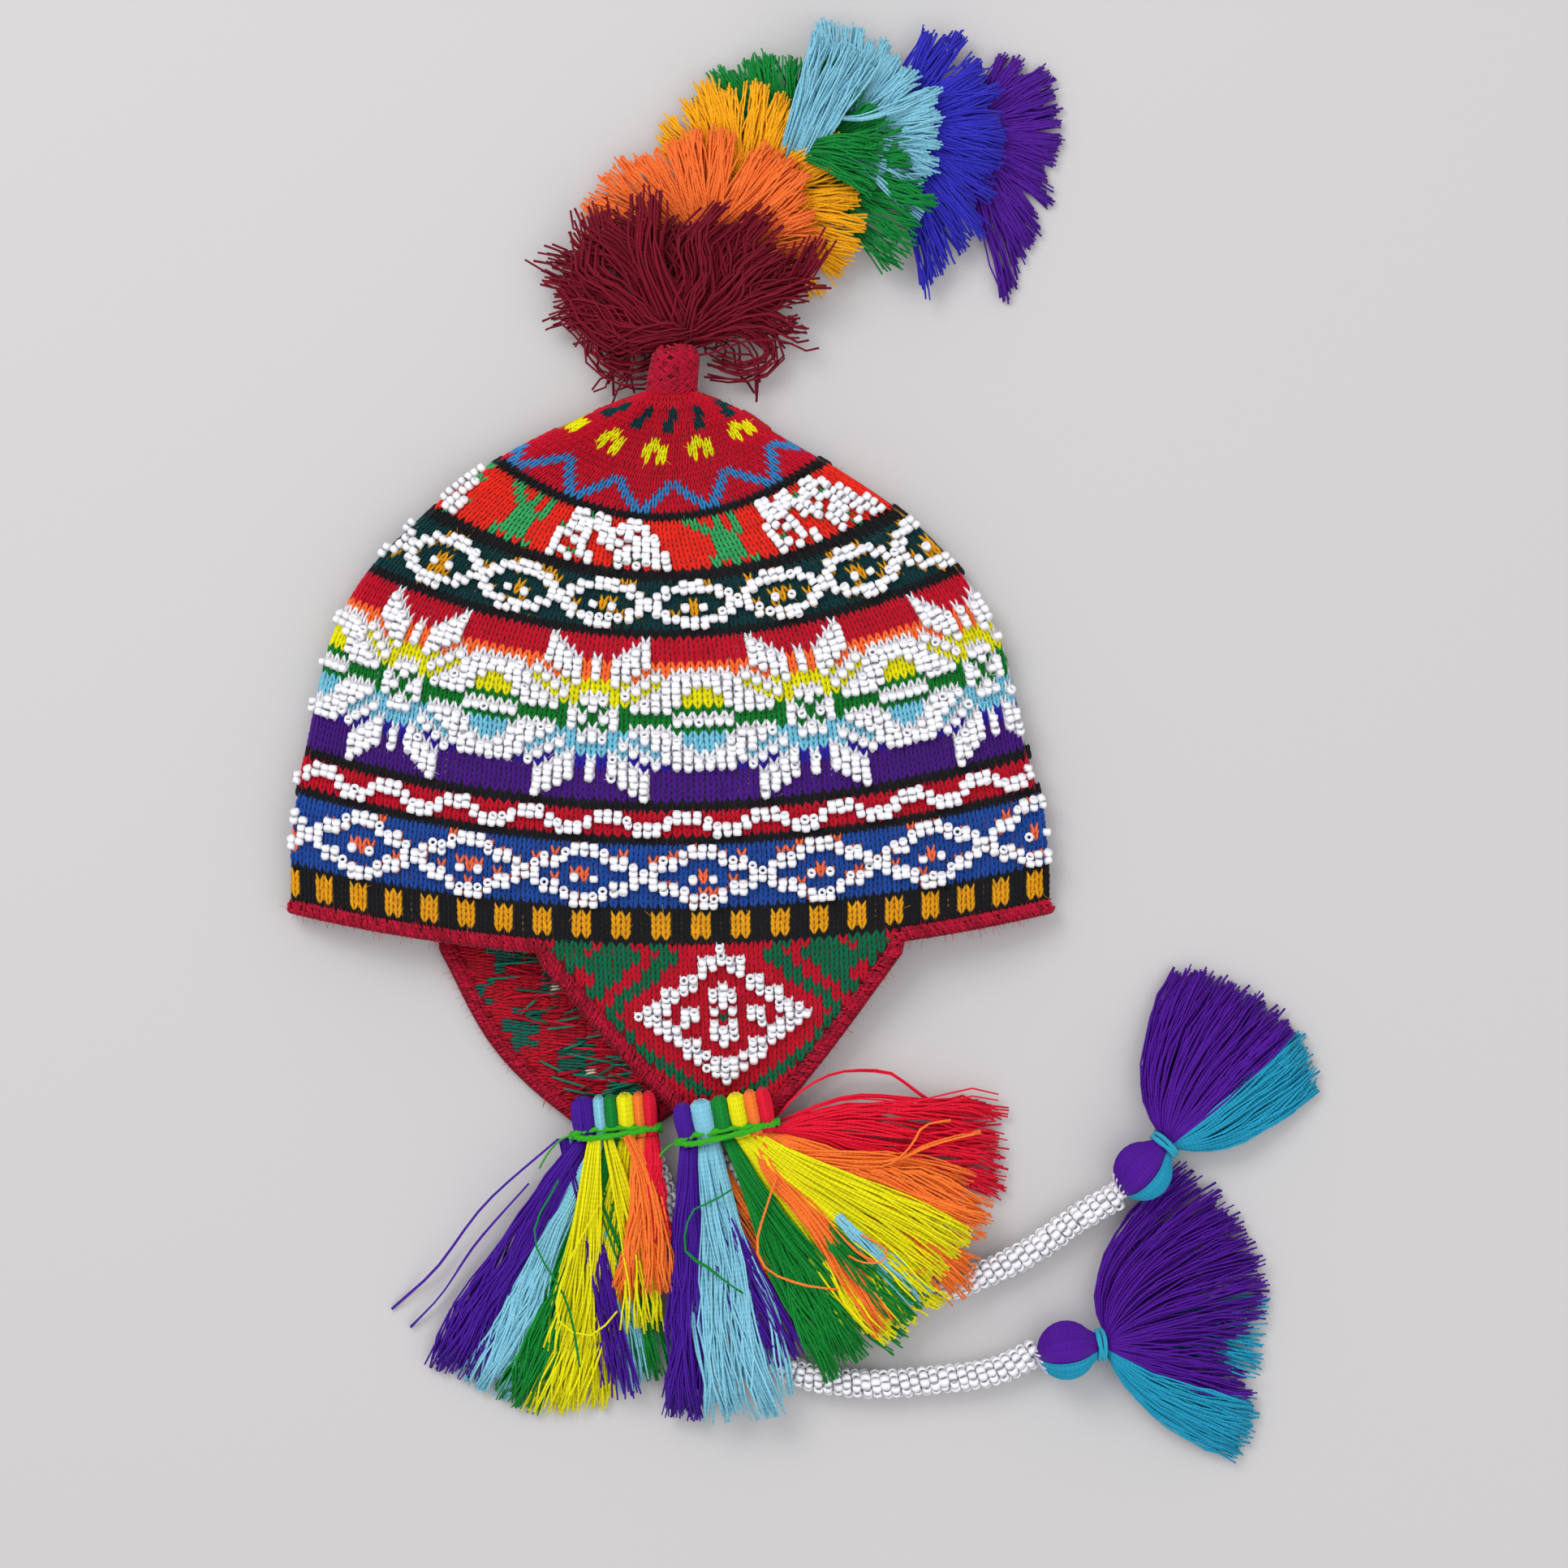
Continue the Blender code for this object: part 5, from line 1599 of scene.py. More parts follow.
@dataclass
class BeadRope:
    """A rope of seed beads wound round a soft core, from a flap's tip to an end tassel's ball."""

    name: str
    start: np.ndarray
    points: tuple[tuple[float, float], ...]
    ball: tuple[float, float]
    angle: float
    ball_radius: float = 0.00975
    diameter: float = 0.0088
    per_turn: float = 9.5
    turn_pitch: float = 0.00315
    bead_width: float = 0.0033
    bead_depth: float = 0.0030
    core_radius: float = 0.0021
    seed: int = 71

    def route(self) -> np.ndarray:
        """The rope's middle line, as many points in the plane at even small steps."""
        end = np.array(self.ball) - heading(self.angle)[:2] * (self.ball_radius + 0.0002)
        points = np.array(self.points) * 0.001
        return smooth_way(np.concatenate([self.start[None], points, end[None]]), 24)

    def build(self) -> None:
        """Build the beads and their core, and put them into the frame."""
        rng = np.random.default_rng(self.seed)
        line = self.route()
        along = measure(line)
        number = int(along[-1] / self.turn_pitch * self.per_turn)
        stops = (np.arange(number) + 0.5) * along[-1] / number
        girth = np.interp(stops, (0.0, 0.006, 0.014), (0.55, 0.85, 1.0))[:, None]
        height = (self.diameter / 2 + 0.0002) * girth + GAP
        centre = np.concatenate([pick(line, along, stops), height], axis=1)
        ahead = unit(np.gradient(centre, axis=0) * (1.0, 1.0, 0.0))
        left = left_of(ahead)
        turn = (stops / self.turn_pitch * TAU + rng.normal(0.0, 0.05, number))[:, None]
        out = left * np.cos(turn) + UP * np.sin(turn)
        reach = (self.diameter / 2 - 0.0010) * girth
        seats = centre + out * reach + ahead * rng.normal(0.0, 0.00012, (number, 1))
        slope = left * -np.sin(turn) + UP * np.cos(turn) + ahead * rng.normal(0.10, 0.08, (number, 1))
        slope = unit(slope)
        size = rng.normal(1.0, 0.06, (number, 1)) * girth
        wide, deep = self.bead_width, self.bead_depth
        frames = [np.cross(slope, out) * wide * size, slope * wide * size, out * deep * size]
        beads = Copies()
        beads.add_shapes(SeedBead.shape(), seats, np.stack(frames, axis=1))
        enter(beads.build(f"{self.name}_beads"), BEAD_GLASS, self.name)
        core = Copies()
        core.add_tubes(centre[:: max(1, number // 90)][None], self.core_radius, 0.4, 8)
        turn = np.linspace(0.0, TAU, 12, endpoint=False)[:, None]
        t = np.linspace(0.0, 1.0, 4)[None, :, None]
        out = left[-1] * np.cos(turn) + UP * np.sin(turn)
        root = centre[-1] - ahead[-1] * 0.001
        onto = unit(out * 0.52 - ahead[-1]) * self.ball_radius
        tips = np.array([*self.ball, self.ball_radius + GAP]) + onto
        cone = root + out[:, None] * 0.001 * (1.0 - t) + (tips - root)[:, None] * t
        core.add_tubes(cone, 0.0005, 0.1)
        finish = StrandYarn("white core thread", 0.8, 0.1, "#DCD2E4", "#A49CAE", 1.5)
        enter(core.build(f"{self.name}_core"), finish, self.name)


@dataclass
class EndTassel:
    """The tassel at the end of a bead rope: two yarns folded over a ball, tied, hanging as a skirt.

    The notch is a dent in the skirt's hem: its middle and half width, as shares across, and its depth.
    hug and neck_share are shares of the ball's radius, and fold_yarn is a radius.
    """

    side: str
    ball: tuple[float, float]
    angle: float
    seams: tuple[Seam, ...]
    seed: int
    notch: tuple[float, float, float] = (0.5, 0.1, 0.0)
    bunches: tuple[Bunch, ...] = ()
    radius: float = 0.00975
    skirt: float = 0.056
    tie_thick: float = 0.0020
    hug: float = 0.95
    neck_share: float = 0.42
    fold_yarn: float = 0.00045

    def __post_init__(self) -> None:
        """Work out the ways and places that everything else follows."""
        self.line = heading(self.angle)
        self.left = left_of(self.line)
        self.centre = np.array([*self.ball, self.radius + GAP])
        self.half_neck, self.half_tie = self.radius * self.neck_share, self.tie_thick * 0.62 + GAP
        self.neck = self.centre + self.line * (self.radius * 1.02 + self.half_tie)

    def add_skirt(self, yarn: Copies, first: Seam, last: Seam, number: int, rng: np.random.Generator) -> None:
        """Add the strands of one yarn, from one seam to the next."""
        shares = np.linspace(0.0, 1.0, 9)
        seams = between(first, last, rng.random(number))
        aside = (2 * seams[:, :1] - 1.0) * self.half_neck
        starts = self.neck + self.left * aside + self.line * self.half_tie
        seams[:, 3] *= np.clip(0.97 + rng.normal(0.0, 0.03, number), 0.8, 1.05)
        middle, half, depth = self.notch
        seams[:, 3] *= 1.0 - depth * np.clip(1.0 - np.abs(seams[:, 0] - middle) / half, 0.0, 1.0)
        paths = seam_curves(starts, seams[:, 1:], self.skirt, shares)
        square = left_of(unit(np.gradient(paths, axis=1)))
        paths = paths + square * wander(rng, number, shares, 0.0012)[..., None]
        low = np.interp(shares, (0.0, 0.18, 0.48, 0.97, 1.0), (0.0058, 0.0016, 0.0006, 0.0004, 0.0004))
        tall = np.interp(shares, (0.0, 0.18, 0.48, 0.78, 1.0), (0.0080, 0.0120, 0.0120, 0.0085, 0.0042))
        profile = np.sqrt(np.maximum(0.08, 1.0 - np.abs(2.0 * seams[:, 0] - 1.0) ** 2.6))
        level = 1.0 - rng.random(number) ** 1.6 * 1.9
        paths[..., 2] = low + tall / 2 + (tall / 2 - 0.0003) * (profile * level)[:, None]
        # Painted shade: strands that lie lower in the skirt take more of the deep colour, besides a random tone
        shades_and_tones = np.clip(0.5 - 0.35 * level + rng.normal(0.0, 0.2, number), 0.0, 1.0)
        yarn.add_tubes(paths, (0.00029 + 0.00012 * (1.0 - level))[:, None], shades_and_tones)

    def add_ball(self, yarn: Copies, first: Seam, last: Seam, count: int, rng: np.random.Generator) -> None:
        """Add the strands of one yarn that fold over the ball, above and below."""
        low, high = (math.asin(2 * seam.head - 1.0) for seam in (first, last))
        ring = np.linspace(low, high, count)[:, None]
        across = np.sin(ring[:, 0])
        turn = np.linspace(0.02, math.pi * 0.80, 11)
        for way in (1.0, -1.0):
            back = -np.cos(turn)[None] * np.ones_like(ring)
            aside = np.sin(ring) * np.sin(turn)[None]
            path = self.centre + self.left * aside[..., None] * self.radius * self.hug
            path = path + self.line * back[..., None] * self.radius * self.hug
            path[..., 2] += np.cos(ring) * np.sin(turn)[None] * way * self.radius * self.hug
            seats = []
            for shift in (-self.half_tie, self.half_tie):
                seat = self.neck + self.line * shift + self.left * (across * self.half_neck * 0.9)[:, None]
                seat[:, 2] += np.sqrt(np.clip(1.0 - across**2, 0.0, 1.0)) * self.half_neck * 0.9 * way
                seats.append(seat[:, None])
            yarn.add_tubes(np.concatenate([path, *seats], axis=1), self.fold_yarn, toned(rng, 0.35, 0.5, count))

    def build(self) -> None:
        """Build both yarns and the tie, and put them into the frame."""
        rng = np.random.default_rng(self.seed)
        yarns = (
            (TasselYarn("turquoise", "#22A6CA", "#0A5874"), 200, 22),
            (TasselYarn("purple", "#540E9C", "#1E063C"), 350, 36),
        )
        for (yarn, strands, folds), first, last in zip(yarns, self.seams, self.seams[1:]):
            tassel = Copies()
            self.add_skirt(tassel, first, last, strands, rng)
            add_bunches(tassel, self.bunches, yarn.name, 0.0003, rng)
            self.add_ball(tassel, first, last, folds, rng)
            finish = StrandYarn(f"{yarn.name} end tassel yarn", 0.6, 0.06, yarn.colour, yarn.deep, 1.4)
            node = f"{self.side}_end_tassel_{yarn.name}"
            enter(tassel.build(f"{node}_strands"), finish, node)
        turn = np.linspace(0.0, TAU * 3, 110)
        loop = self.neck + self.left * (np.cos(turn) * (self.half_neck + 0.0008))[:, None]
        loop = loop + self.line * (0.0008 * (turn / TAU - 1.5) + 0.0006 * np.sin(turn * 1.5))[:, None]
        loop[:, 2] += np.sin(turn) * (self.half_neck + 0.0008)
        tie = Copies()
        tie.add_tubes(loop[None], 0.0007, 0.2, 5)
        finish = StrandYarn("turquoise tie thread", 0.6, 0.2, "#22A4C0", "#0A6078", 1.2)
        enter(tie.build(f"{self.side}_end_tie_thread"), finish, f"{self.side}_end_tie")


# Plume


FOLDED_LOCKS = 22


@dataclass(frozen=True)
class Tier:
    """One tuft of the plume: where its root lies, where it points, its spread, reach and colours.

    Angles are in degrees. The reaches to the left, front and right are shares of the plume's own.
    A folded tuft's strands leave its root low and curl up.
    """

    name: str
    at: float
    toward: float
    half: float
    left: float
    front: float
    right: float
    colour: str
    deep: str
    strands: int = 560
    thick: float = 0.0052
    folded: bool = False


@dataclass
class Plume:
    """The bent plume: seven tufts sewn one over the next along a curve, like shingles."""

    tiers: tuple[Tier, ...]
    bunches: tuple[Bunch, ...]
    pivot: tuple[float, float] = (0.07995, 0.1060)
    bend_radius: float = 0.0775
    reach: float = 0.044
    step: float = 0.00565
    sink: float = 0.27
    seed: int = 91

    def units(self, places: np.ndarray, index: int) -> np.ndarray:
        """How many tufts further along the bend places lie than the root of this one."""
        offset = places[..., :2] - np.array(self.pivot)
        degrees = np.degrees(np.arctan2(offset[..., 1], offset[..., 0]))
        degrees = np.where(degrees < -90.0, degrees + 360.0, degrees)
        stops = np.array([tier.at for tier in self.tiers])
        first = (stops[0] - degrees) / (stops[0] - stops[1])
        last = len(stops) - 1 + (stops[-1] - degrees) / (stops[-2] - stops[-1])
        inside = np.interp(-degrees, -stops, np.arange(len(stops)))
        return np.where(degrees >= stops[0], first, np.where(degrees <= stops[-1], last, inside)) - index

    def fold(
        self, tier: Tier, root: np.ndarray, lock: np.ndarray, centre: np.ndarray, lean: np.ndarray,
        length: np.ndarray, shares: np.ndarray, rng: np.random.Generator,
    ) -> tuple[np.ndarray, np.ndarray]:
        """Lay a tuft's strands so that they leave its root low and curl up, with a few short ones.

        Args:
            tier: the tuft.
            root: where it is sewn on.
            lock: the lock that each strand belongs to.
            centre: the middle of that lock, from -1 to 1 over the tuft's spread.
            lean: where each strand lies over the spread.
            length: each strand's length.
            shares: places along the strands.
            rng: the random numbers.

        Returns:
            The strands' paths, and where over the spread each one ends.
        """
        number, locks = len(lock), FOLDED_LOCKS
        length = length * (rng.uniform(0.84, 1.03, locks)[lock] * rng.uniform(0.95, 1.02, number))
        low = rng.random(number) < 0.07
        droop = np.sign(lean) * rng.uniform(0.62, 1.18, number)
        lean = np.where(low, droop, centre + rng.uniform(-0.032, 0.032, number))
        length = np.where(low, rng.uniform(0.012, 0.034, number), length)
        bend = rng.uniform(0.74, 1.10, locks)[lock] + rng.normal(0.0, 0.04, number)
        leave = tier.toward + tier.half * lean * np.where(low, 0.7, bend)
        lean = np.where(low, lean, lean * (0.73 + 0.04 * np.cos(lock * 2.4)))
        scatter = np.stack([rng.normal(0, 0.0030, number), rng.normal(-0.001, 0.002, number)], 1)
        starts = root + scatter @ np.eye(2, 3)
        pull = starts + heading(leave) * (length * 0.58)[:, None]
        paths = bow(starts, pull, starts + heading(tier.toward + tier.half * lean) * length[:, None], shares)
        sway = heading(tier.toward + tier.half * lean + 90.0)
        drift = wander(rng, locks, shares, 0.0040)[lock] + wander(rng, number, shares, 0.0008)
        return paths + sway[:, None] * drift[..., None], lean

    def make_tuft(self, index: int, rng: np.random.Generator) -> None:
        """One tuft's strands in clumped locks, from its root outwards."""
        tier = self.tiers[index]
        root = np.array([*self.pivot, 0.0]) + heading(tier.at) * self.bend_radius
        number = tier.strands
        locks, steps, radius = (FOLDED_LOCKS, 9, 0.00043) if tier.folded else (30, 6, 0.00034)
        lock = rng.integers(0, locks, number)
        centre = -1.0 + 2.0 * (lock + 0.5) / locks
        lean = np.clip(centre + rng.normal(0.0, 1.0, number) / locks, -1.0, 1.0)
        side = np.where(lean > 0.0, tier.left, tier.right)
        length = (tier.front + (side - tier.front) * lean**2) * self.reach
        length *= 1.0 - 0.012 * np.maximum(0.0, np.abs(lean) * tier.half - 90.0)
        length *= 0.95 + rng.normal(0.0, 0.06, locks)[lock] + rng.normal(0.0, 0.025, number)
        shares = np.linspace(0.03, 1.0, steps)
        squeeze = 0.035 * rng.normal(0.0, 1.0, locks)[lock][:, None] * shares[None]
        pinch = (centre - lean)[:, None] * 0.25 * shares[None] ** 2
        turn = tier.toward + tier.half * (lean[:, None] + squeeze + pinch + wander(rng, number, shares, 0.02))
        paths = root + heading(turn) * (length[:, None] * shares[None])[..., None]
        paths[..., :2] += rng.normal(0.0, 0.0026, (number, 1, 2)) * (1.0 - shares)[None, :, None]
        if tier.folded:
            paths, lean = self.fold(tier, root, lock, centre, lean, length, shares, rng)
        beneath = len(self.tiers) - 1 - index
        low = self.step * np.clip(self.units(paths, index) + self.sink, 0.0, beneath)
        swell = 0.62 + 0.38 * np.sin(math.pi * np.minimum(1.0, 0.25 + 0.75 * shares))
        level = 1.0 - rng.random(number) ** 1.8
        if tier.folded:
            level = np.clip(0.30 + 0.55 * rng.random(locks)[lock] + rng.normal(0.0, 0.13, number), 0.0, 1.0)
        tall = tier.thick * swell[None] * (0.95 - 0.10 * np.cos(lean * locks * math.pi)[:, None] ** 2)
        paths[..., 2] = low + 0.0005 + (tall - 0.0009) * level[:, None]
        radii = radius * rng.uniform(0.85, 1.15, (number, 1))
        # Painted shade: lower strands in a tuft take more of the deep colour; the per-lock and per-strand parts
        # are random tone
        shades_and_tones = 0.75 - 0.65 * level + rng.normal(0.0, 0.16, number) + rng.normal(0.0, 0.12, locks)[lock]
        tuft = Copies()
        tuft.add_tubes(paths, radii, np.clip(shades_and_tones, 0.0, 1.0))
        add_bunches(tuft, self.bunches, tier.name, radius, rng)
        finish = StrandYarn(f"{tier.name} plume yarn", 0.7, 0.06, tier.colour, tier.deep, 1.5)
        enter(tuft.build(f"plume_{tier.name}_strands"), finish, f"plume_{tier.name}")

    def build(self) -> None:
        """Build all tufts, from the stem round the bend."""
        rng = np.random.default_rng(self.seed)
        for index in range(len(self.tiers)):
            self.make_tuft(index, rng)


# Studio


@dataclass
class Studio:
    """The pale floor, the soft light from the upper left and the camera straight above."""

    aim: tuple[float, float] = (0.0368, -0.0302)
    height: float = 1.60
    frame_width: float = 0.512
    sensor: float = 36.0
    floor_size: float = 6.0
    glow: float = 0.94

    def build(self) -> None:
        """Build the floor, lights and camera."""
        deselect_all()
        bpy.ops.mesh.primitive_plane_add(size=self.floor_size, location=(*self.aim, 0.0))
        floor = bpy.context.view_layer.objects.active
        floor.name = "floor"
        PaintedFloor("pale paper floor", 0.9).dress(floor)
        scene = bpy.context.scene
        scene.view_settings.view_transform = "Standard"
        world = bpy.data.worlds.new("studio")
        world.use_nodes = True
        back = world.node_tree.nodes["Background"]
        back.inputs["Color"].default_value = linear("#F2F2F6")
        back.inputs["Strength"].default_value = self.glow
        scene.world = world
        for name, place, size, power in (
            ("key", (-0.75, 0.95, 1.35), 0.9, 13.5),
            ("fill", (0.9, -0.6, 1.2), 1.4, 4.0),
        ):
            lamp = bpy.data.lights.new(name, "AREA")
            lamp.energy = power
            lamp.size = size
            thing = bpy.data.objects.new(name, lamp)
            thing.location = place
            way = Vector((*self.aim, 0.0)) - Vector(place)
            thing.rotation_euler = way.to_track_quat("-Z", "Y").to_euler()
            scene.collection.objects.link(thing)
        lens = bpy.data.cameras.new("camera")
        lens.sensor_width = self.sensor
        lens.lens = self.sensor * self.height / self.frame_width
        camera = bpy.data.objects.new("camera", lens)
        camera.location = (*self.aim, self.height)
        scene.collection.objects.link(camera)
        scene.camera = camera


NEAR_BUNCHES: tuple[Bunch, ...] = (
    Bunch(
        "orange", 85, (3.5, 9.0), (15.0, 18.0, 13.0),
        ((27.3, -140.6), (32.6, -155.8), (40.5, -163.8), (49.8, -175.7), (57.8, -187.6), (64.4, -196.9),
         (71.0, -207.5)),
    ),
    Bunch(
        "orange", 55, (3.0, 17.0), (15.0, 16.0, 8.0),
        ((28.0, -139.9), (37.9, -150.5), (56.4, -153.8), (77.6, -157.1), (96.2, -165.1)),
    ),
    Bunch(
        "yellow", 105, (3.0, 27.0), (15.0, 17.6, 15.0),
        ((21.0, -139.9), (37.9, -153.2), (57.8, -165.1), (76.3, -176.4), (90.9, -187.6)),
    ),
    Bunch(
        "sky", 24, (1.0, 8.0), (12.0, 18.2, 14.0),
        ((37.9, -157.1), (51.1, -167.4), (66.7, -182.3), (82.6, -197.2)),
    ),
    Bunch(
        "green", 60, (3.0, 16.0), (12.0, 17.4, 13.0),
        ((36.0, -159.0), (49.0, -172.0), (63.0, -186.5), (81.0, -201.5)),
    ),
    Bunch(
        "orange", 26, (3.0, 16.0), (9.0, 12.0, 9.0),
        ((12.0, -146.0), (20.0, -165.0), (33.0, -184.0), (45.0, -197.0)),
    ),
    Bunch(
        "green", 34, (3.0, 9.0), (14.0, 17.5, 9.0),
        ((16.7, -142.6), (29.9, -163.8), (47.2, -186.3), (64.4, -203.5), (76.3, -212.1)),
    ),
    Bunch(
        "purple", 70, (3.0, 20.0), (10.0, 14.8, 12.0),
        ((8.1, -143.9), (16.0, -171.7), (25.9, -196.5), (35.5, -219.4)),
    ),
    Bunch(
        "sky", 26, (3.0, 10.0), (15.0, 17.0, 9.0),
        ((9.4, -142.6), (13.4, -171.7), (20.6, -198.9), (29.2, -219.4)),
    ),
    Bunch(
        "green", 2, (0.3, 1.2), (17.0, 18.0, 17.5),
        ((20.0, -161.1), (13.4, -165.1), (8.1, -167.1), (5.1, -173.7), (5.4, -181.7), (11.4, -185.6),
         (17.4, -190.3), (23.7, -194.6)),
    ),
    Bunch(
        "orange", 2, (0.3, 1.5), (18.5, 18.5, 17.5),
        ((34.3, -157.1), (31.3, -166.4), (28.0, -179.0), (31.3, -187.0), (41.9, -191.6), (54.5, -193.3)),
    ),
    Bunch(
        "orange", 2, (0.3, 2.0), (18.5, 18.5, 14.0),
        ((44.5, -163.8), (49.8, -169.7), (61.1, -181.7), (69.7, -185.6), (79.0, -188.3), (85.6, -185.0)),
    ),
    Bunch(
        "orange", 1, (0.3, 0.3), (18.0, 18.5, 18.0),
        ((57.8, -174.4), (63.1, -176.4), (69.7, -180.3), (68.4, -184.3), (61.7, -184.3), (57.8, -182.3)),
    ),
    Bunch(
        "orange", 3, (0.5, 3.5), (15.0, 16.0, 10.0),
        ((57.8, -153.8), (69.7, -153.8), (77.6, -147.9), (82.3, -141.2), (90.9, -139.6)),
    ),
    Bunch(
        "orange", 3, (0.5, 4.0), (15.5, 14.5, 9.0),
        ((57.8, -152.5), (72.3, -151.8), (84.3, -147.2), (100.8, -143.2)),
    ),
    Bunch(
        "red", 3, (0.6, 2.0), (12.0, 8.0, 5.0),
        ((35.2, -137.3), (40.5, -131.3), (47.2, -126.7), (56.4, -123.4), (71.0, -124.0), (78.3, -129.0),
         (84.3, -133.3)),
    ),
    Bunch(
        "red", 4, (0.6, 6.0), (12.0, 9.0, 3.0),
        ((35.2, -139.3), (57.8, -131.3), (81.0, -132.6), (110.1, -135.9)),
    ),
)
FAR_BUNCHES: tuple[Bunch, ...] = (
    Bunch(
        "yellow", 60, (4.0, 17.0), (13.0, 10.5, 6.0),
        ((-24.4, -145.2), (-27.0, -170.7), (-30.0, -194.2), (-33.0, -216.7)),
    ),
    Bunch(
        "yellow", 26, (3.0, 14.0), (13.0, 12.5, 9.0),
        ((-20.4, -145.2), (-15.1, -166.4), (-11.1, -187.6), (-9.8, -208.8)),
    ),
    Bunch(
        "sky", 40, (3.0, 12.0), (8.0, 7.0, 4.0),
        ((-32.3, -145.2), (-24.4, -171.7), (-16.4, -200.9), (-11.1, -227.9)),
    ),
    Bunch(
        "purple", 34, (3.0, 11.0), (9.5, 9.5, 7.0),
        ((-35.0, -145.2), (-27.0, -174.4), (-20.4, -203.5), (-16.4, -230.6)),
    ),
    Bunch(
        "green", 34, (3.0, 14.0), (9.0, 8.0, 5.0),
        ((-29.7, -145.2), (-20.4, -171.7), (-9.8, -200.9), (-4.5, -224.7)),
    ),
    Bunch(
        "orange", 40, (3.0, 10.0), (14.0, 16.0, 13.0),
        ((-13.8, -143.9), (-7.2, -158.5), (-4.0, -177.0), (-2.4, -195.6)),
    ),
    Bunch(
        "purple", 2, (0.4, 2.0), (12.0, 6.0, 1.0),
        ((-36.3, -145.2), (-60.2, -166.4), (-76.1, -187.6), (-91.4, -201.4)),
    ),
    Bunch(
        "purple", 2, (0.6, 4.0), (9.0, 6.0, 1.2),
        ((-46.0, -160.0), (-63.0, -179.7), (-73.7, -195.9), (-84.7, -207.8)),
    ),
    Bunch(
        "yellow", 2, (0.4, 3.0), (14.0, 13.5, 12.0),
        ((-23.1, -166.4), (-33.7, -187.6), (-36.3, -203.5), (-25.7, -208.8), (-17.8, -200.9)),
    ),
    Bunch(
        "green", 2, (0.4, 2.0), (13.0, 12.0, 11.0),
        ((-36.3, -158.5), (-44.3, -177.0), (-33.7, -198.2), (-29.7, -219.4)),
    ),
)


def make_clusters(near: EarFlap, far: EarFlap) -> tuple[TasselCluster, TasselCluster]:
    """The clusters of tassels of both ear flaps, with their seams as they fell."""
    colours = {
        "purple": ("#4A149C", "#1C0644"),
        "sky": ("#8ED2E6", "#4A98B2"),
        "green": ("#0A8A30", "#044A18"),
        "yellow": ("#F6F008", "#B0A400"),
        "orange": ("#FF8232", "#E4540E"),
        "red": ("#F01236", "#8C0418"),
    }
    near_lifts = (
        (1.1, 0.45, 0, 0.93), (1.1, 1.1, 0, 0.94), (1.1, 1.1, 0.35, 0.9),
        (1.1, 1.1, 0, 0.9), (1.1, 1.1, 0, 0.95), (0.7, 0.1),
    )
    far_lifts = (*[(0.25, 0.04, 0.0, 0.95)] * 4, (1.1, 0.3, 0, 0.62), (1.1, 1.1, 0, 0.42))
    near_seams = (
        Seam(0, -95, -92.4, 1.064),
        Seam(0.17, -90, -89.4, 1.10),
        Seam(0.39, -76, -73.7, 1.10),
        Seam(0.56, -60, -57.1, 1.04),
        Seam(0.74, -42, -40.2, 1.048),
        Seam(0.87, -16, -16.6, 0.927),
        Seam(1, 26, 7, 0.814),
    )
    far_seams = (
        Seam(0, -130, -122.9, 1.05),
        Seam(0.26, -121, -117.8, 1.075),
        Seam(0.39, -112, -111.6, 1.10),
        Seam(0.54, -106, -107.2, 1.13),
        Seam(0.75, -95, -95.6, 1.062),
        Seam(0.87, -90, -90, 1.03),
        Seam(1, -85, -86.4, 0.975),
    )
    near_yarns, far_yarns = (
        tuple(TasselYarn(name, *pair, *lift) for (name, pair), lift in zip(colours.items(), lifts))
        for lifts in (near_lifts, far_lifts)
    )
    return (
        TasselCluster("near", near, 0.0310, 11.0, near_seams, near_yarns, NEAR_BUNCHES, seed=61),
        TasselCluster("far", far, 0.0265, 5.0, far_seams, far_yarns, FAR_BUNCHES, seed=62),
    )


PLUME_BUNCHES: tuple[Bunch, ...] = (
    Bunch(
        "sky", 90, (8.0, 24.0), (4.0, 17.0, 14.0),
        ((36.0, 163.0), (43.5, 179.0), (50.5, 195.0), (57.0, 210.5)),
    ),
    Bunch(
        "sky", 60, (5.0, 17.0), (7.0, 15.0, 13.0),
        ((53.0, 176.8), (62.0, 174.8), (72.3, 172.3), (83.5, 169.6)),
    ),
    Bunch(
        "sky", 6, (1.0, 9.0), (16.0, 17.0, 11.0),
        ((51.1, 175.4), (64.4, 168.8), (75.0, 160.9), (82.9, 156.3)),
    ),
    Bunch(
        "sky", 5, (1.0, 8.0), (15.0, 17.0, 13.0),
        ((51.1, 186.0), (61.7, 186.0), (72.3, 190.0), (79.0, 194.0)),
    ),
    Bunch(
        "green", 80, (4.0, 21.0), (8.0, 19.5, 18.5),
        ((40.0, 176.1), (50.1, 174.1), (60.4, 171.6), (68.4, 169.5)),
    ),
    Bunch(
        "maroon", 14, (2.0, 9.0), (10.0, 9.0, 6.0),
        ((1.3, 111.8), (-9.8, 119.8), (-21.7, 118.5), (-24.4, 109.2), (-13.8, 103.4), (-4.5, 105.2)),
    ),
    Bunch(
        "maroon", 14, (2.0, 9.0), (10.0, 9.0, 6.0),
        ((2.9, 111.8), (14.0, 121.1), (27.3, 118.5), (33.9, 109.2), (24.6, 103.4), (11.4, 106.0)),
    ),
)


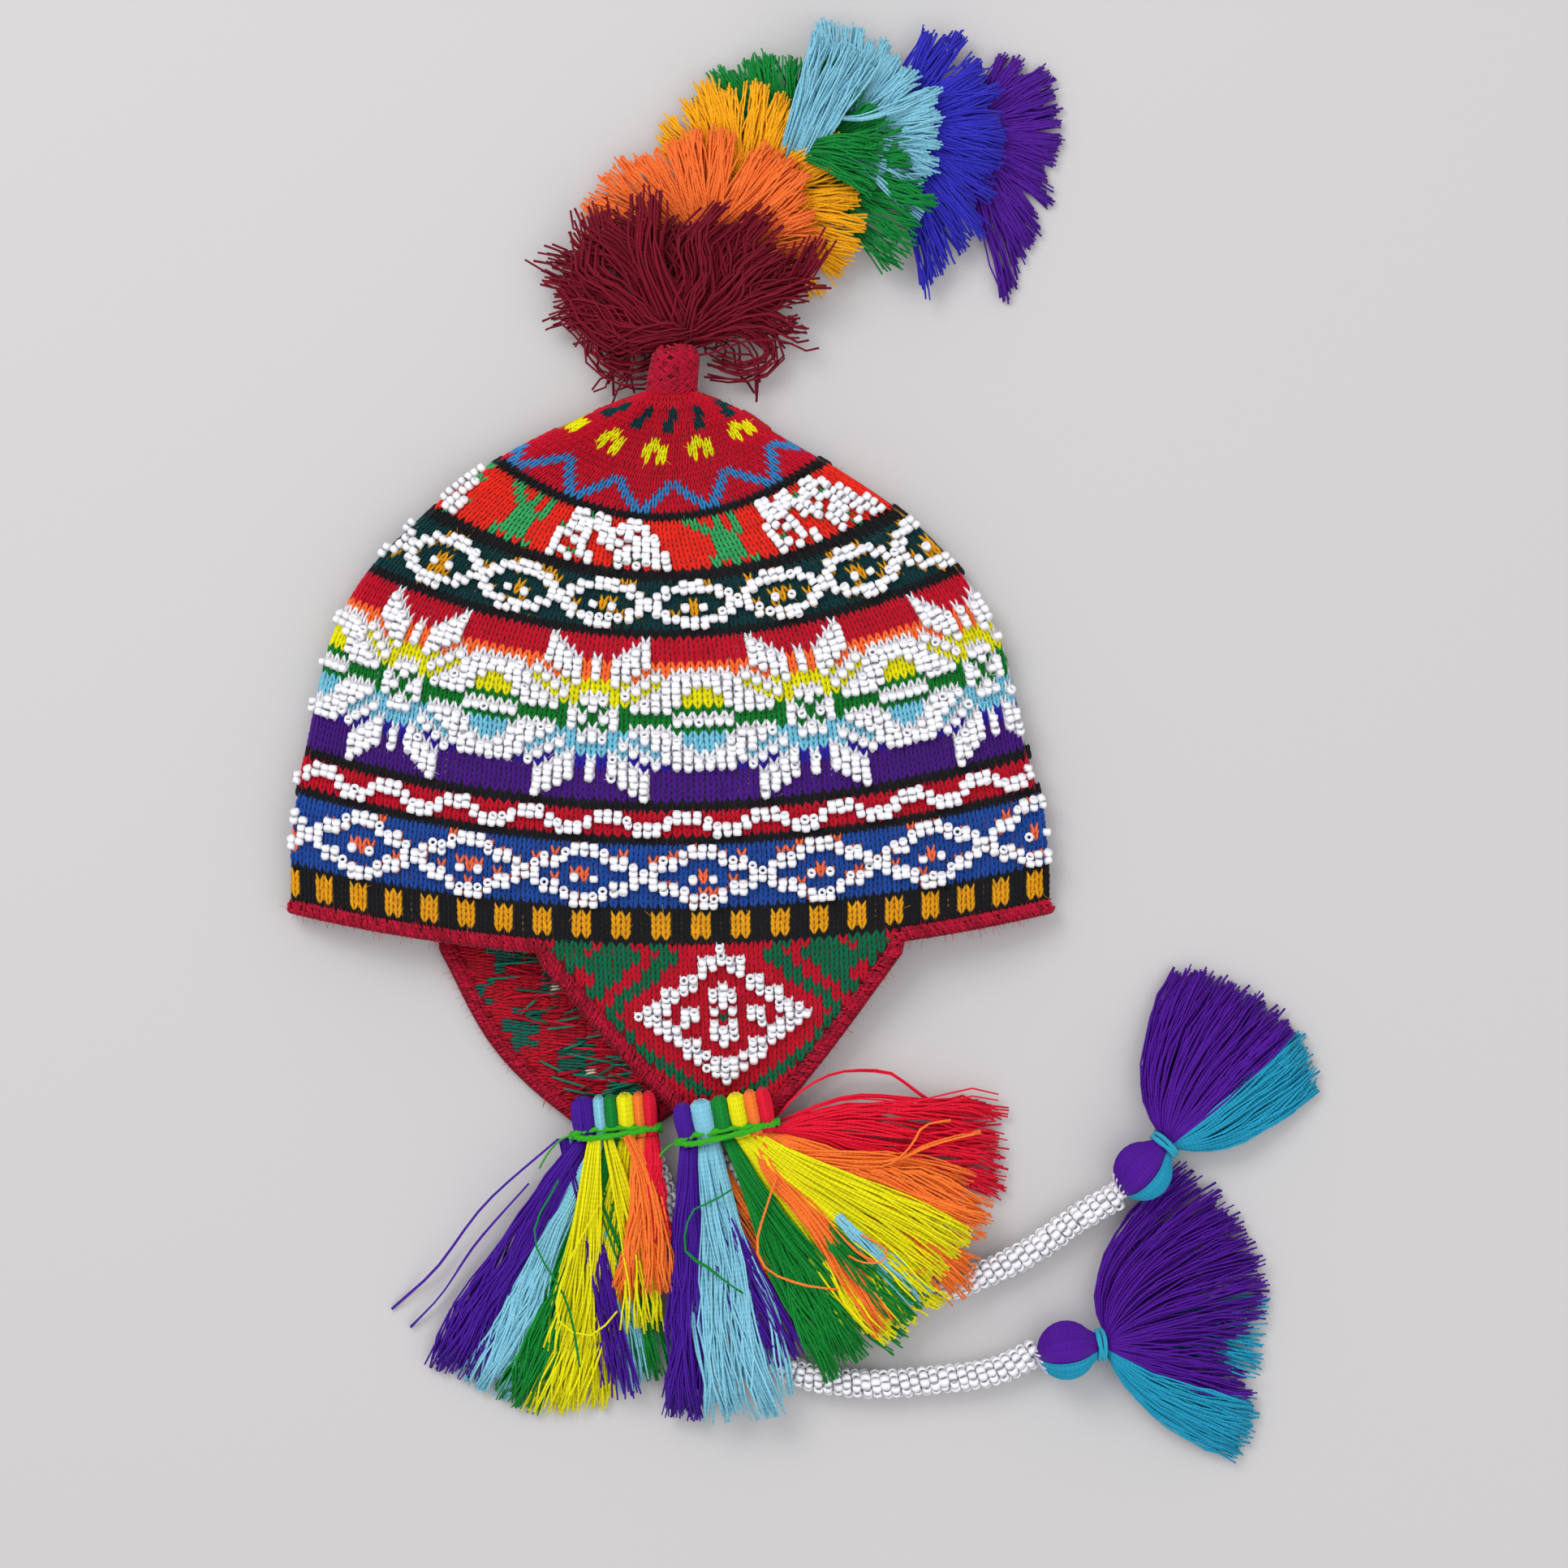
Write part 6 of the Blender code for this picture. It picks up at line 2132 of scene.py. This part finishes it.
def make_plume() -> Plume:
    """The plume with its seven tufts, from the stem round its bend."""
    return Plume(
        (
            Tier("maroon", 172, 90, 115, 1.16, 1.04, 1.29, "#7C0822", "#2C030C", 800, 0.0125, True),
            Tier("orange", 152, 88, 88, 0.94, 0.94, 0.84, "#FF7A34", "#C44412"),
            Tier("gold", 137, 50, 98, 0.93, 0.84, 1.00, "#FFB414", "#B87404"),
            Tier("green", 122.5, 50, 98, 0.95, 0.80, 1.28, "#0C8A38", "#04481C"),
            Tier("sky", 109, 38, 62, 0.90, 0.74, 0.76, "#8ACCE0", "#4A90A8"),
            Tier("blue", 97, -2, 74, 0.84, 0.84, 1.30, "#3430C0", "#16126A"),
            Tier("violet", 80, -8, 66, 0.72, 0.76, 1.27, "#54189A", "#200644"),
        ),
        PLUME_BUNCHES,
    )


def main() -> None:
    """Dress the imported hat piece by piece, set the studio round it and finish."""
    logging.basicConfig(level=logging.INFO, format="%(name)s: %(message)s")
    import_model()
    deselect_all()
    near = EarFlap("near_flap", True, -0.335, 0.594, 0.148, 0.020, 0.0195, 0.0056, seed=31)
    far = EarFlap("far_flap", False, -0.591, 0.337, -0.142, 0.110, 0.0190, 0.0006, seed=32)
    Crown().build()
    near.build()
    far.build()
    CrochetEdge(near, far).build()
    Stem().build()
    for cluster in make_clusters(near, far):
        cluster.build()
    near_tip = near.tip_place()[:2] + (0.0, -0.0064)
    far_tip = far.tip_place()[:2] + (0.0095, -0.0064)
    upper_points = (
        (22.5, -158), (30, -170), (40.5, -181), (56, -190), (72, -194.5), (88, -194.2), (103, -189.3),
        (118, -181.8), (132, -171.8),
    )
    lower_points = (
        (-4, -160), (2.5, -173), (10, -187), (18.5, -201), (29.5, -213.5), (44, -222.8), (64.9, -225.5),
        (84.8, -224.2), (104.5, -221.6),
    )
    upper_ball, lower_ball = (0.1532, -0.1558), (0.1285, -0.2139)
    BeadRope("upper_bead_rope", near_tip, upper_points, upper_ball, 50.0, seed=71).build()
    BeadRope("lower_bead_rope", far_tip, lower_points, lower_ball, 9.0, seed=72).build()
    upper_seams = (Seam(0, -14, 22, 0.87), Seam(0.34, 38, 40, 0.98), Seam(1, 126, 84, 0.955))
    lower_seams = (Seam(0, -68, -40, 0.97), Seam(0.34, -34, -21, 0.93), Seam(1, 118, 65.5, 1.06))
    EndTassel("upper", upper_ball, 50.0, upper_seams, 81).build()
    loose_way = ((141, -212), (165, -208), (194, -211))
    loose = (Bunch("turquoise", 60, (3.0, 26.0), (7.0, 4.0, 3.0), loose_way),)
    EndTassel("lower", lower_ball, 9.0, lower_seams, 82, (0.47, 0.12, 0.30), loose).build()
    make_plume().build()
    Studio().build()


if __name__ == "__main__":
    main()
